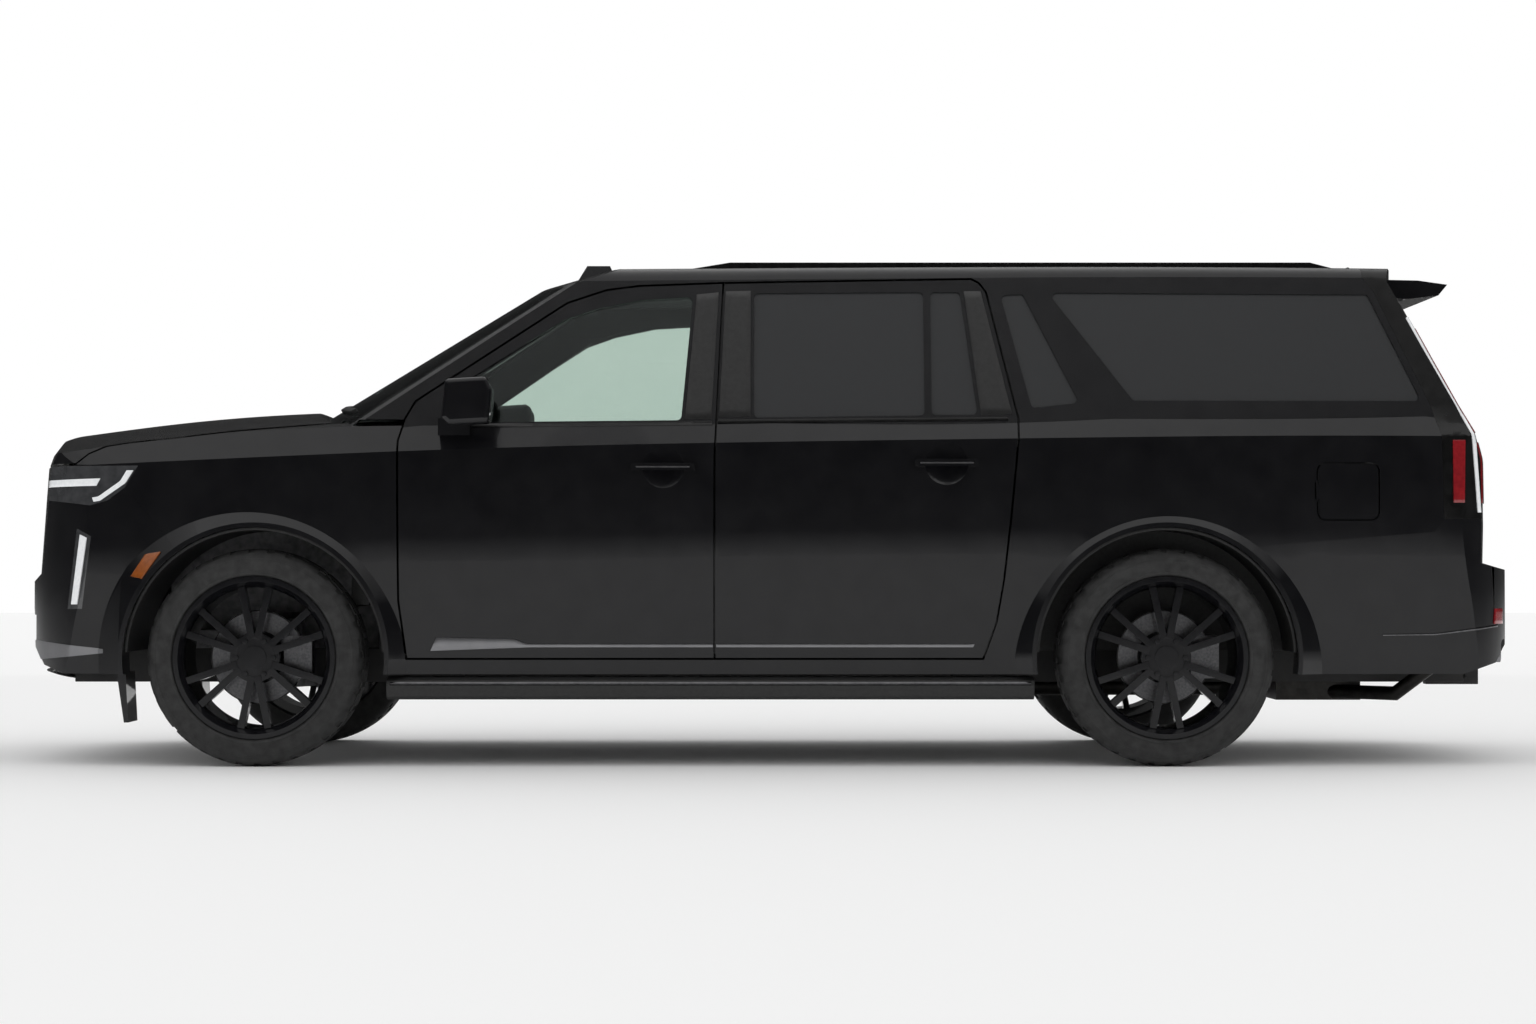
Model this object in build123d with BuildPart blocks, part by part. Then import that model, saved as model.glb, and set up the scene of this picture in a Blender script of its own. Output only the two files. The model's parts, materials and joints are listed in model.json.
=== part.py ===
import os
from math import cos, radians, sin, sqrt
from build123d import *

os.makedirs("parts", exist_ok=True)

# Overall sizes of the vehicle in mm, nose toward -X, ground at Z = 0
LENGTH = 5766.0
WHEELBASE = 3407.0
FRONT_OVERHANG = 965.0
X_NOSE = -LENGTH / 2
X_TAIL = LENGTH / 2
X_FRONT_AXLE = X_NOSE + FRONT_OVERHANG
X_REAR_AXLE = X_FRONT_AXLE + WHEELBASE
HALF_SPAN = 1300.0

# Wheels and tyres
TYRE_R = 407.0
TYRE_WIDTH = 285.0
WHEEL_Y = 870.0
BEAD_R = 281.0
RIM_LIP_R = 303.0
RIM_SEAT_GAP = 0.3
ARCH_R = 488.0
FLARE_R = 590.0
FLARE_Y = 1024.0
ARCH_INNER_Y = 690.0
STEER_ARCH_INNER_Y = 500.0

# Wall thicknesses and gaps of the body
PANEL_GAP = 8.0
SKIN_LOW = 25.0
SKIN_UP = 18.0
DOOR_LOW = 110.0
DOOR_UP = 45.0
POCKET_LOW = 135.0
POCKET_UP = 60.0
WALL_LOW = 190.0
WALL_UP = 100.0
FENDER_WALL = 60.0
HOOD_WALL = 28.0
ROOF_WALL = 45.0
DOOR_STEP = 22.0
JAMB = 50.0
SEAT_FIT = 0.3
ROOF_SEAM_Y = 720.0

# Door hinges
HINGE_Y = 986.0
HINGE_SETBACK = 64.0
HINGE_PIN_R = 6.0
PIN_CLEARANCE = 0.05
HINGE_HEIGHTS = (740.0, 1080.0)
HINGE_ARM_H = 44.0
HINGE_PIN_L = 110.0
NOTCH_H = 60.0

# Glass
GLASS_IN = 8.0
GLASS_T = 5.0
GLASS_LAP = 12.0
PANE_CORNER_R = 18.0

Z_SILL = 345.0
Z_CREASE_LOW = 630.0
Z_WIDEST = 900.0
CAVITY_FLOOR = 250.0

# Lower body stations: x, then half-widths at sill, lower crease, widest line, shoulder crease
# and belt, then heights of the shoulder crease, the belt and the crown at the centre
LOWER_STATIONS = [
    (-3000.0, 790.0, 812.0, 820.0, 806.0, 770.0, 1110.0, 1150.0, 1235.0),
    (-2480.0, 915.0, 938.0, 946.0, 936.0, 892.0, 1132.0, 1200.0, 1300.0),
    (-1918.0, 960.0, 984.0, 994.0, 984.0, 915.0, 1156.0, 1258.0, 1352.0),
    (-1100.0, 968.0, 994.0, 1005.0, 996.0, 950.0, 1188.0, 1276.0, 1366.0),
    (200.0, 968.0, 994.0, 1007.0, 998.0, 953.0, 1216.0, 1288.0, 1376.0),
    (1489.0, 966.0, 992.0, 1005.0, 996.0, 950.0, 1233.0, 1300.0, 1380.0),
    (2350.0, 945.0, 968.0, 982.0, 972.0, 928.0, 1237.0, 1308.0, 1380.0),
    (3000.0, 880.0, 898.0, 908.0, 898.0, 862.0, 1238.0, 1312.0, 1380.0),
]

# Upper body stations: x, half-widths at the base, the roof rail and the roof edge,
# then heights of the roof rail, the roof edge and the roof centre
Z_UPPER_BASE = 1200.0
UPPER_STATIONS = [
    (-1900.0, 952.0, 785.0, 700.0, 1828.0, 1878.0, 1898.0),
    (-300.0, 975.0, 800.0, 715.0, 1834.0, 1884.0, 1904.0),
    (1400.0, 973.0, 798.0, 713.0, 1846.0, 1890.0, 1908.0),
    (2950.0, 925.0, 762.0, 678.0, 1836.0, 1874.0, 1892.0),
]

# Side-view seams, as (x, z)
FRONT_SEAM = [(-1352, 402), (-1381, 620), (-1386, 1220), (-1364, 1300), (-1325, 1369)]
PILLAR_SEAM = [(-760, 1746), (-610, 1796), (-485, 1812), (-169, 1823)]
MIDDLE_SEAM = [(-169, 1823), (-200, 1150), (-200, 402)]
REAR_SEAM = [(770, 1838), (800, 1822), (826, 1787), (939, 1305), (937, 1231),
             (907, 923), (881, 697), (854, 540), (805, 402)]
FRONT_DOOR = FRONT_SEAM + PILLAR_SEAM[:-1] + MIDDLE_SEAM
REAR_DOOR = MIDDLE_SEAM[::-1] + REAR_SEAM
TAIL_SEAM = [(2257, 1846), (2300, 1787), (2490, 1359), (2524, 1243), (2530, 925)]
REAR_BUMPER_SEAM = [(2490, 877), (1820, 822)]
FRONT_BUMPER_SEAM = [(-2200, 800), (-2411, 1044)]
HOOD_SEAM = [(-2602, 1130), (-2555, 1169), (-2491, 1197), (-2405, 1211), (-2230, 1228),
             (-1989, 1257), (-1681, 1283), (-1480, 1297)]
LAMP_TOP = [(-2950, 1122), (-2602, 1126), (-2361, 1126)]
LAMP_BOTTOM = [(-2411, 1044), (-2478, 995), (-2544, 977), (-2761, 1002), (-2950, 1006)]

# Side windows, as (x, z)
FRONT_PANE = [(-326, 1296), (-284, 1768), (-480, 1757), (-650, 1722), (-770, 1680),
              (-910, 1592), (-1150, 1437), (-1215, 1385), (-1215, 1288)]
REAR_PANE = [(-53, 1306), (-53, 1783), (588, 1787), (588, 1314)]
SMALL_PANE = [(614, 1315), (614, 1787), (727, 1787), (786, 1317)]
PILLAR_PANE = [(880, 1775), (965, 1780), (1170, 1362), (990, 1342)]
CARGO_PANE = [(1060, 1785), (2275, 1779), (2460, 1370), (1372, 1370)]

# Outlines of the fixed panels in side view
BODY_SIDE = ([(-1445, 300), (-1445, 402)] + FRONT_SEAM[:4] + [(-1750, 1300), (-1750, 1990), (2257, 1990)]
             + TAIL_SEAM + REAR_BUMPER_SEAM + [(X_REAR_AXLE, TYRE_R), (X_REAR_AXLE, 300)])
FENDER = ([(X_FRONT_AXLE, TYRE_R)] + FRONT_BUMPER_SEAM + [(-2361, 1126)] + HOOD_SEAM
          + FRONT_SEAM[3::-1] + [(-1445, 402)])
FRONT_BUMPER = ([(X_FRONT_AXLE, TYRE_R)] + FRONT_BUMPER_SEAM + LAMP_BOTTOM[1:]
                + [(-2950, 200), (X_FRONT_AXLE, 200)])
REAR_BUMPER = ([(X_REAR_AXLE, TYRE_R)] + REAR_BUMPER_SEAM[::-1]
               + [(2530, 925), (2950, 925), (2950, 200), (X_REAR_AXLE, 200)])
HOOD = [(-3000, 1122)] + HOOD_SEAM + [(-1480, 1600), (-3000, 1600)]
TAIL_LAMP = [(2257, 1990)] + TAIL_SEAM + [(2950, 925), (2950, 1990)]
DAY_LAMP = [(-2597, 890), (-2540, 861), (-2576, 588), (-2636, 588)]
FUEL_LID = [(2052, 921), (2285, 921), (2285, 1134), (2052, 1134)]
FIXED = -SEAT_FIT / 2


def keep(piece, name):
    piece.part.label = name
    export_step(piece.part, f"parts/{name}.step")


def lower_body(inset, floor, top):
    with BuildPart() as solid:
        for x, sill, low, wide, crease, belt, z_crease, z_belt, z_top in LOWER_STATIONS:
            half = [(sill - inset, floor), (low - inset, Z_CREASE_LOW), (wide - inset, Z_WIDEST),
                    (crease - inset, z_crease - top / 2), (belt - inset, z_belt - top)]
            other = [(-y, z) for y, z in half]
            with BuildSketch(Plane.YZ.offset(x)):
                with BuildLine():
                    Line(other[0], half[0])
                    for side in (half, other):
                        Line(side[0], side[1])
                        ThreePointArc(side[1], side[2], side[3])
                        Line(side[3], side[4])
                    ThreePointArc(half[4], (0, z_top - top), other[4])
                make_face()
        loft()
    return solid.part


def upper_body(inset):
    with BuildPart() as solid:
        for x, base, rail, edge, z_rail, z_edge, z_roof in UPPER_STATIONS:
            drop = inset / 3
            half = [(base - inset, Z_UPPER_BASE), (rail - inset, z_rail - drop),
                    (edge - inset, z_edge - inset)]
            other = [(-y, z) for y, z in half]
            mid_y = (rail + edge) / 2 + 16 - inset
            mid_z = (z_rail + z_edge) / 2 + 8 - 2 * drop
            with BuildSketch(Plane.YZ.offset(x)):
                with BuildLine():
                    Line(other[0], half[0])
                    Line(half[0], half[1])
                    ThreePointArc(half[1], (mid_y, mid_z), half[2])
                    ThreePointArc(half[2], (0, z_roof - inset), other[2])
                    ThreePointArc(other[2], (-mid_y, mid_z), other[1])
                    Line(other[1], other[0])
                make_face()
        loft()
    return solid.part


def whole_body(low, up):
    return lower_body(low, CAVITY_FLOOR, 0.0) + upper_body(up)


def left_prism(outline, grow=0.0, inner=0.0, corner=0.0):
    with BuildPart() as solid:
        with BuildSketch(Plane.XZ.offset(inner)) as face:
            with BuildLine():
                Polyline(*outline, close=True)
            make_face()
            if corner:
                fillet(face.vertices(), corner)
            if grow:
                offset(amount=grow, kind=Kind.INTERSECTION)
        extrude(amount=HALF_SPAN - inner)
    return solid.part


def across(outline, grow=0.0):
    with BuildPart() as solid:
        with BuildSketch(Plane.XZ):
            with BuildLine():
                Polyline(*outline, close=True)
            make_face()
            if grow:
                offset(amount=grow, kind=Kind.INTERSECTION)
        extrude(amount=HALF_SPAN, both=True)
    return solid.part


def box(x0, x1, y0, y1, z0, z1):
    with BuildPart() as solid:
        with Locations(((x0 + x1) / 2, (y0 + y1) / 2, (z0 + z1) / 2)):
            Box(x1 - x0, y1 - y0, z1 - z0)
    return solid.part


def cross_cylinder(x, z, y0, y1, radius):
    with BuildPart() as solid:
        with BuildSketch(Plane.XZ.offset(-y0)):
            with Locations((x, z)):
                Circle(radius)
        extrude(amount=-(y1 - y0))
    return solid.part


def turned(x, z, outline):
    with BuildPart() as solid:
        with BuildSketch(Plane.XY.offset(z)):
            with BuildLine():
                Polyline(*[(x + radius, y) for radius, y in outline], close=True)
            make_face()
        revolve(axis=Axis((x, 0, z), (0, 1, 0)), revolution_arc=360)
    return solid.part


def flipped(solid):
    return mirror(solid, about=Plane.XZ)


def both(solid):
    return solid + flipped(solid)


def end_cutter(axis_x, outline):
    with BuildPart() as solid:
        with BuildSketch(Plane.XZ):
            with BuildLine():
                Polyline(*outline, close=True)
            make_face()
        revolve(axis=Axis((axis_x, 0, 0), (0, 0, 1)), revolution_arc=360)
    return solid.part


def corner_cutter(start, middle, end, reach):
    with BuildPart() as solid:
        with BuildSketch(Plane.XY):
            with BuildLine():
                ThreePointArc(start, middle, end)
                Polyline(end, (end[0], -HALF_SPAN), (reach, -HALF_SPAN), (reach, start[1]), start)
            make_face()
        extrude(amount=1450)
    return both(solid.part)


def screen_cutter(foot_x, foot_z, slope, shift=0.0):
    rise = 1000.0
    with BuildPart() as solid:
        with BuildSketch(Plane.XY.offset(foot_z - rise * slope)):
            x0 = foot_x - rise + shift
            with BuildLine():
                RadiusArc((x0 + SCREEN_SET, -SCREEN_HALF), (x0 + SCREEN_SET, SCREEN_HALF), SCREEN_R)
                Polyline((x0 + SCREEN_SET, SCREEN_HALF), (x0 - 2500, SCREEN_HALF),
                         (x0 - 2500, -SCREEN_HALF), (x0 + SCREEN_SET, -SCREEN_HALF))
            make_face()
        extrude(amount=3000.0, dir=(1, 0, slope))
    return solid.part


# Master surfaces of the nose, the tail and the windscreen
NOSE_AXIS_X = 117.0
NOSE_LINE = [(-2560, 1330), (-2684, 1279), (-2767, 1231), (-2812, 1170), (-2830, 1120), (-2858, 720),
             (X_NOSE, 690), (X_NOSE, 590), (X_NOSE + 6, 440), (X_NOSE + 32, 375), (-2760, 330)]
NOSE_FRONT = [(-3500, 330), (-3500, 1600), (-2560, 1600)]
TAIL_AXIS_X = -700.0
TAIL_LINE = [(2450, 1830), (2511, 1722), (2709, 1360), (2775, 1250), (2800, 1150), (2803, 900),
             (2800, 760), (X_TAIL, 735), (X_TAIL, 450), (2850, 385), (2700, 330)]
TAIL_BACK = [(3700, 330), (3700, 2000), (2450, 2000)]
SCREEN_R = 1700.0
SCREEN_HALF = 1250.0
SCREEN_SET = SCREEN_R - sqrt(SCREEN_R**2 - SCREEN_HALF**2)
SCREEN_FOOT = (-1640.0, 1392.0)
SCREEN_SLOPE = 0.607
HEADER_FOOT = (-927.0, 1825.0)
HEADER_SLOPE = 0.29
TAILGATE_WALL = 85.0
HOOD_REAR_X = -1785.0

nose_cut = end_cutter(NOSE_AXIS_X, NOSE_LINE + NOSE_FRONT)
tail_cut = end_cutter(TAIL_AXIS_X, TAIL_LINE + TAIL_BACK)
front_corners = corner_cutter((-2818, -620), (-2690, -850), (-2420, -962), -3100)
rear_corners = corner_cutter((2825, -620), (2740, -862), (2400, -985), 3100)
screen_cut = screen_cutter(*SCREEN_FOOT, SCREEN_SLOPE)
header_cut = screen_cutter(*HEADER_FOOT, HEADER_SLOPE)

axles = [(X_FRONT_AXLE, STEER_ARCH_INNER_Y), (X_REAR_AXLE, ARCH_INNER_Y)]
flare_outline = [(ARCH_R, 900), (FLARE_R, 900), (FLARE_R, 955), (ARCH_R + 17, FLARE_Y), (ARCH_R, FLARE_Y)]
low_outer = lower_body(0.0, Z_SILL, 0.0)
for axle_x, inner_y in axles:
    flare = turned(axle_x, TYRE_R, flare_outline) & box(-3000, 3000, 0, HALF_SPAN, Z_SILL, 1200)
    low_outer = low_outer + both(flare)
low_outer = low_outer - nose_cut - tail_cut - front_corners - rear_corners
for axle_x, inner_y in axles:
    low_outer = low_outer - both(cross_cylinder(axle_x, TYRE_R, inner_y, HALF_SPAN, ARCH_R))
rear_block = low_outer & across(REAR_BUMPER)
up_outer = upper_body(0.0) - screen_cut - header_cut - tail_cut
outer = low_outer + up_outer
wall_cavity = whole_body(WALL_LOW, WALL_UP)
left_half = box(-1800, 3000, -HALF_SPAN, -400, 200, 2100)
left_outer = outer & left_half
pocket_cavity = whole_body(POCKET_LOW, POCKET_UP) & left_half
door_cavity = whole_body(DOOR_LOW, DOOR_UP) & left_half
skin_cavity = whole_body(SKIN_LOW, SKIN_UP) & left_half
left_cavity = wall_cavity & left_half
glass_slab = (upper_body(GLASS_IN) - upper_body(GLASS_IN + GLASS_T)) & left_half
glass_slot = (upper_body(GLASS_IN - SEAT_FIT) - upper_body(GLASS_IN + GLASS_T + SEAT_FIT)) & left_half

# Doors of the left side, each a skin with a smaller inner box behind it
hinge_front_x = FRONT_SEAM[2][0] + HINGE_SETBACK
hinge_rear_x = MIDDLE_SEAM[1][0] + HINGE_SETBACK
HANDLES = [(-392.0, 1121.0), (667.0, 1136.0)]
HANDLE_L = 240.0
HANDLE_H = 26.0
HANDLE_T = 14.0
HANDLE_Y = 1017.0
CUP_R = 120.0
CUP_Y = 1093.0


def door(outline, panes, hinge_x, handle):
    skin = (left_outer & left_prism(outline, -PANEL_GAP / 2)) - skin_cavity
    inner = (left_outer & left_prism(outline, -PANEL_GAP / 2 - DOOR_STEP)) - door_cavity
    handle_x, handle_z = handle
    with BuildPart() as solid:
        add(skin + inner)
        for pane in panes:
            add(left_prism(pane, corner=PANE_CORNER_R), mode=Mode.SUBTRACT)
            add(glass_slot & left_prism(pane, GLASS_LAP + SEAT_FIT, corner=PANE_CORNER_R), mode=Mode.SUBTRACT)
        for z in HINGE_HEIGHTS:
            add(box(hinge_x - 200, hinge_x + 16, -HINGE_Y - 10, -700, z - NOTCH_H / 2, z + NOTCH_H / 2),
                mode=Mode.SUBTRACT)
            with Locations((hinge_x, -HINGE_Y, z)):
                Cylinder(HINGE_PIN_R + PIN_CLEARANCE, HINGE_PIN_L + 2, mode=Mode.SUBTRACT)
        with Locations((handle_x, -CUP_Y, handle_z)):
            Sphere(CUP_R, mode=Mode.SUBTRACT)
        for end in (-1, 1):
            with Locations((handle_x + end * (HANDLE_L / 2 - HANDLE_H / 2), -HANDLE_Y + 12, handle_z)):
                Box(HANDLE_H, 50, HANDLE_H - 4)
        with BuildSketch(Plane.XZ.offset(HANDLE_Y)):
            with Locations((handle_x, handle_z)):
                RectangleRounded(HANDLE_L, HANDLE_H, HANDLE_H / 2 - 1)
        extrude(amount=HANDLE_T)
    return solid.part


with BuildPart() as front_door_left:
    add(door(FRONT_DOOR, [FRONT_PANE], hinge_front_x, HANDLES[0]))
keep(front_door_left, "front_door_left")
with BuildPart() as front_door_right:
    mirror(front_door_left.part, about=Plane.XZ)
keep(front_door_right, "front_door_right")
with BuildPart() as rear_door_left:
    add(door(REAR_DOOR, [REAR_PANE, SMALL_PANE], hinge_rear_x, HANDLES[1]))
keep(rear_door_left, "rear_door_left")
with BuildPart() as rear_door_right:
    mirror(rear_door_left.part, about=Plane.XZ)
keep(rear_door_right, "rear_door_right")

# Side glass, each pane held in a slot of its frame
GLASS_SETS = [("front_glass", [FRONT_PANE]), ("rear_glass", [REAR_PANE, SMALL_PANE])]
for glass_name, panes in GLASS_SETS:
    with BuildPart() as left_glass:
        for pane in panes:
            add(glass_slab & left_prism(pane, GLASS_LAP, corner=PANE_CORNER_R))
    keep(left_glass, f"{glass_name}_left")
    with BuildPart() as right_glass:
        mirror(left_glass.part, about=Plane.XZ)
    keep(right_glass, f"{glass_name}_right")
with BuildPart() as quarter_glass:
    for pane in (PILLAR_PANE, CARGO_PANE):
        add(both(glass_slab & left_prism(pane, GLASS_LAP, corner=PANE_CORNER_R)))
keep(quarter_glass, "quarter_glass")

# Windscreen, a slab behind the sloping screen surface
SCREEN_EDGE = 45.0
SCREEN_T = 15.0
SCREEN_TOP_Z = 1812.0
COWL_DROP = 36.0
COWL_HALF = 740.0
FENDER_INNER_Y = 800.0
screen_back = screen_cutter(*SCREEN_FOOT, SCREEN_SLOPE, SCREEN_T)
screen_rabbet = (upper_body(SCREEN_EDGE - SEAT_FIT) & box(-2200, 0, -HALF_SPAN, HALF_SPAN, 1200,
                 SCREEN_TOP_Z + SEAT_FIT)) & screen_cutter(*SCREEN_FOOT, SCREEN_SLOPE, SCREEN_T + 2 * SEAT_FIT)
with BuildPart() as windscreen:
    add((upper_body(SCREEN_EDGE) & screen_back) - screen_cut - lower_body(0.0, Z_SILL, COWL_DROP))
    add(both(lower_body(0.0, Z_SILL, 0.0) & box(-2200, 0, COWL_HALF - SEAT_FIT, HALF_SPAN, 1000, 1500)),
        mode=Mode.SUBTRACT)
    add(box(-2200, 0, -HALF_SPAN, HALF_SPAN, 1200, SCREEN_TOP_Z), mode=Mode.INTERSECT)
keep(windscreen, "windscreen")

# Body sides with pillars, sill and quarter, door pockets and door openings
PILLAR_FRONT_X = -1455.0
FUEL_GAP = 5.0
with BuildPart() as plain_side_left:
    add((left_outer & left_prism(BODY_SIDE, FIXED, ROOF_SEAM_Y - FIXED)) - left_cavity)
    add((left_outer & lower_body(FENDER_WALL + 6, Z_SILL, FENDER_WALL + 6)
         & box(PILLAR_FRONT_X, hinge_front_x + 40, -HALF_SPAN, 0, Z_SILL, 1225)) - left_cavity)
    for outline, hinge_x in ((FRONT_DOOR, hinge_front_x), (REAR_DOOR, hinge_rear_x)):
        add(left_prism(outline, PANEL_GAP / 2) - pocket_cavity, mode=Mode.SUBTRACT)
        add(left_prism(outline, -JAMB) & box(hinge_x + 36, 3000, -HALF_SPAN, 0, 300, 2000),
            mode=Mode.SUBTRACT)
    for pane in (PILLAR_PANE, CARGO_PANE):
        add(left_prism(pane, corner=PANE_CORNER_R), mode=Mode.SUBTRACT)
        add(glass_slot & left_prism(pane, GLASS_LAP + SEAT_FIT, corner=PANE_CORNER_R), mode=Mode.SUBTRACT)
    add(screen_rabbet, mode=Mode.SUBTRACT)
    for hinge_x in (hinge_front_x, hinge_rear_x):
        for z in HINGE_HEIGHTS:
            add(box(hinge_x - 7, hinge_x + 7, -HINGE_Y - 6.5, -840, z - HINGE_ARM_H / 2, z + HINGE_ARM_H / 2))
            with Locations((hinge_x, -HINGE_Y, z)):
                Cylinder(HINGE_PIN_R, HINGE_PIN_L)
with BuildPart() as body_side_right:
    mirror(plain_side_left.part, about=Plane.XZ)
keep(body_side_right, "body_side_right")

# Fuel lid in the left quarter, hung on a short upright pin at its front edge, which is rebated to swing
FUEL_LID_T = 12.0
FUEL_WELL_DEPTH = 60.0
FUEL_CORNER_R = 32.0
FUEL_PIN = (2052.0, -990.0)
FUEL_PIN_R = 2.5
FUEL_BARREL_R = 5.0
FUEL_BARREL_Z = (1000.0, 1060.0)
FUEL_EAR_H = 8.0
FUEL_REBATE = 9.0
fuel_barrel_mid = sum(FUEL_BARREL_Z) / 2
fuel_barrel_h = FUEL_BARREL_Z[1] - FUEL_BARREL_Z[0]
with BuildPart() as body_side_left:
    add(plain_side_left.part)
    add(left_prism(FUEL_LID, FUEL_GAP / 2, corner=FUEL_CORNER_R) - lower_body(FUEL_WELL_DEPTH, Z_SILL, 0.0),
        mode=Mode.SUBTRACT)
    add(box(FUEL_PIN[0] - 9, FUEL_PIN[0] + 9, FUEL_PIN[1] - 20, FUEL_PIN[1] + 16, FUEL_BARREL_Z[0] - 1,
            FUEL_BARREL_Z[1] + 1), mode=Mode.SUBTRACT)
    for z in (FUEL_BARREL_Z[0] - FUEL_EAR_H / 2 - 1, FUEL_BARREL_Z[1] + FUEL_EAR_H / 2 + 1):
        with Locations((*FUEL_PIN, z)):
            Cylinder(FUEL_BARREL_R, FUEL_EAR_H)
    with Locations((*FUEL_PIN, fuel_barrel_mid)):
        Cylinder(FUEL_PIN_R, fuel_barrel_h + 4)
keep(body_side_left, "body_side_left")
with BuildPart() as fuel_lid:
    add((left_outer & left_prism(FUEL_LID, -FUEL_GAP / 2, corner=FUEL_CORNER_R))
        - lower_body(FUEL_LID_T, Z_SILL, 0.0))
    for z in (FUEL_BARREL_Z[0] - FUEL_EAR_H / 2 - 1, FUEL_BARREL_Z[1] + FUEL_EAR_H / 2 + 1):
        with Locations((*FUEL_PIN, z)):
            Cylinder(FUEL_BARREL_R + 1, FUEL_EAR_H + 1.5, mode=Mode.SUBTRACT)
    with Locations((*FUEL_PIN, fuel_barrel_mid)):
        Cylinder(FUEL_BARREL_R, fuel_barrel_h - 1)
        Cylinder(FUEL_PIN_R + PIN_CLEARANCE, fuel_barrel_h + 8, mode=Mode.SUBTRACT)
    for low, high in ((FUEL_LID[0][1], FUEL_BARREL_Z[0] - 1), (FUEL_BARREL_Z[1] + 1, FUEL_LID[2][1])):
        add(box(FUEL_PIN[0], FUEL_PIN[0] + FUEL_REBATE, -HALF_SPAN, FUEL_PIN[1] + 1, low, high),
            mode=Mode.SUBTRACT)
keep(fuel_lid, "fuel_lid")

# Fenders, each with a hinge pin for the hood
HOOD_PIVOT = (-1635.0, 1275.0)
HOOD_PIN_R = 7.0
HOOD_ARM_Y = (768.0, 794.0)
HOOD_ARM_R = 12.0
fender_cavity = lower_body(FENDER_WALL, CAVITY_FLOOR, FENDER_WALL)
with BuildPart() as fender_left:
    add((low_outer & left_prism(FENDER, FIXED, FENDER_INNER_Y)) - fender_cavity)
    add(left_prism(FRONT_DOOR, PANEL_GAP / 2), mode=Mode.SUBTRACT)
    add(cross_cylinder(*HOOD_PIVOT, -FENDER_INNER_Y - 10, -HOOD_ARM_Y[0] + 4, HOOD_PIN_R))
keep(fender_left, "fender_left")
with BuildPart() as fender_right:
    mirror(fender_left.part, about=Plane.XZ)
keep(fender_right, "fender_right")


def ahead_of_arc(x):
    setback = HOOD_ARC_R - sqrt(HOOD_ARC_R**2 - SCREEN_HALF**2)
    with BuildPart() as solid:
        with BuildSketch(Plane.XY.offset(900)):
            with BuildLine():
                RadiusArc((x + setback, -SCREEN_HALF), (x + setback, SCREEN_HALF), HOOD_ARC_R)
                Polyline((x + setback, SCREEN_HALF), (-3200, SCREEN_HALF), (-3200, -SCREEN_HALF),
                         (x + setback, -SCREEN_HALF))
            make_face()
        extrude(amount=900)
    return solid.part


# Hood
HOOD_ARC_R = 2600.0
HOOD_NOSE_WALL = 45.0
HOOD_GAP = 6.0
with BuildPart() as hood:
    add(low_outer & across(HOOD, -HOOD_GAP) & ahead_of_arc(HOOD_REAR_X))
    add(lower_body(HOOD_WALL, CAVITY_FLOOR, HOOD_WALL) - Pos(HOOD_NOSE_WALL, 0, 0) * nose_cut, mode=Mode.SUBTRACT)
    for side in (-1, 1):
        y0, y1 = sorted((side * HOOD_ARM_Y[0], side * HOOD_ARM_Y[1]))
        add(box(HOOD_PIVOT[0] - 110, HOOD_PIVOT[0], y0, y1, HOOD_PIVOT[1] - HOOD_ARM_R, HOOD_PIVOT[1] + HOOD_ARM_R))
        add(cross_cylinder(*HOOD_PIVOT, y0, y1, HOOD_ARM_R))
        add(cross_cylinder(*HOOD_PIVOT, y0 - 1, y1 + 1, HOOD_PIN_R + PIN_CLEARANCE), mode=Mode.SUBTRACT)
keep(hood, "hood")

# Roof with its front header and the antenna fin
ROOF_END_X = 2253.0
GATE_PIVOT = (2261.5, 1905.0)
GATE_HINGE_Y = 400.0
GATE_PIN_R = 4.0
GATE_KNUCKLE_R = 9.0
GATE_KNUCKLE_HALF = 25.0
GATE_EAR = (26.0, 38.0)
ANTENNA = [(-689.0, 1860.0, 192.0, 70.0), (-682.0, 1957.0, 92.0, 14.0)]
with BuildPart() as roof:
    roof_zone = box(-1400, ROOF_END_X, -ROOF_SEAM_Y - FIXED, ROOF_SEAM_Y + FIXED, 1700, 2000)
    add((up_outer & roof_zone) - upper_body(ROOF_WALL))
    add(up_outer & box(-1000, -700, -ROOF_SEAM_Y - FIXED, ROOF_SEAM_Y + FIXED, 1786, 2000))
    add(screen_rabbet, mode=Mode.SUBTRACT)
    for x, z, long, wide in ANTENNA:
        with BuildSketch(Plane.XY.offset(z)):
            with Locations((x, 0)):
                Rectangle(long, wide)
    loft()
    for side in (-1, 1):
        hinge_y = side * GATE_HINGE_Y
        for y0, y1 in ((hinge_y - GATE_EAR[1], hinge_y - GATE_EAR[0]), (hinge_y + GATE_EAR[0], hinge_y + GATE_EAR[1])):
            add(cross_cylinder(*GATE_PIVOT, y0, y1, GATE_KNUCKLE_R))
            add(box(ROOF_END_X - 40, ROOF_END_X, y0, y1, GATE_PIVOT[1] - 20, GATE_PIVOT[1]))
            add(box(ROOF_END_X - 1, GATE_PIVOT[0], y0, y1, GATE_PIVOT[1] - GATE_KNUCKLE_R, GATE_PIVOT[1]))
        add(cross_cylinder(*GATE_PIVOT, hinge_y - GATE_EAR[1], hinge_y + GATE_EAR[1], GATE_PIN_R))
keep(roof, "roof")

# Roof rails
RAIL_LINE = [(-353, 1850), (-353, 1880), (-146, 1914), (2080, 1914), (2234, 1874), (2234, 1850)]
RAIL_Y = 640.0
RAIL_W = 36.0
with BuildPart() as roof_rails:
    for side in (-1, 1):
        with BuildSketch(Plane.XZ.offset(-side * RAIL_Y - RAIL_W / 2)):
            with BuildLine():
                Polyline(*RAIL_LINE, close=True)
            make_face()
        extrude(amount=RAIL_W)
    add(upper_body(0.0), mode=Mode.SUBTRACT)
keep(roof_rails, "roof_rails")

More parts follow.
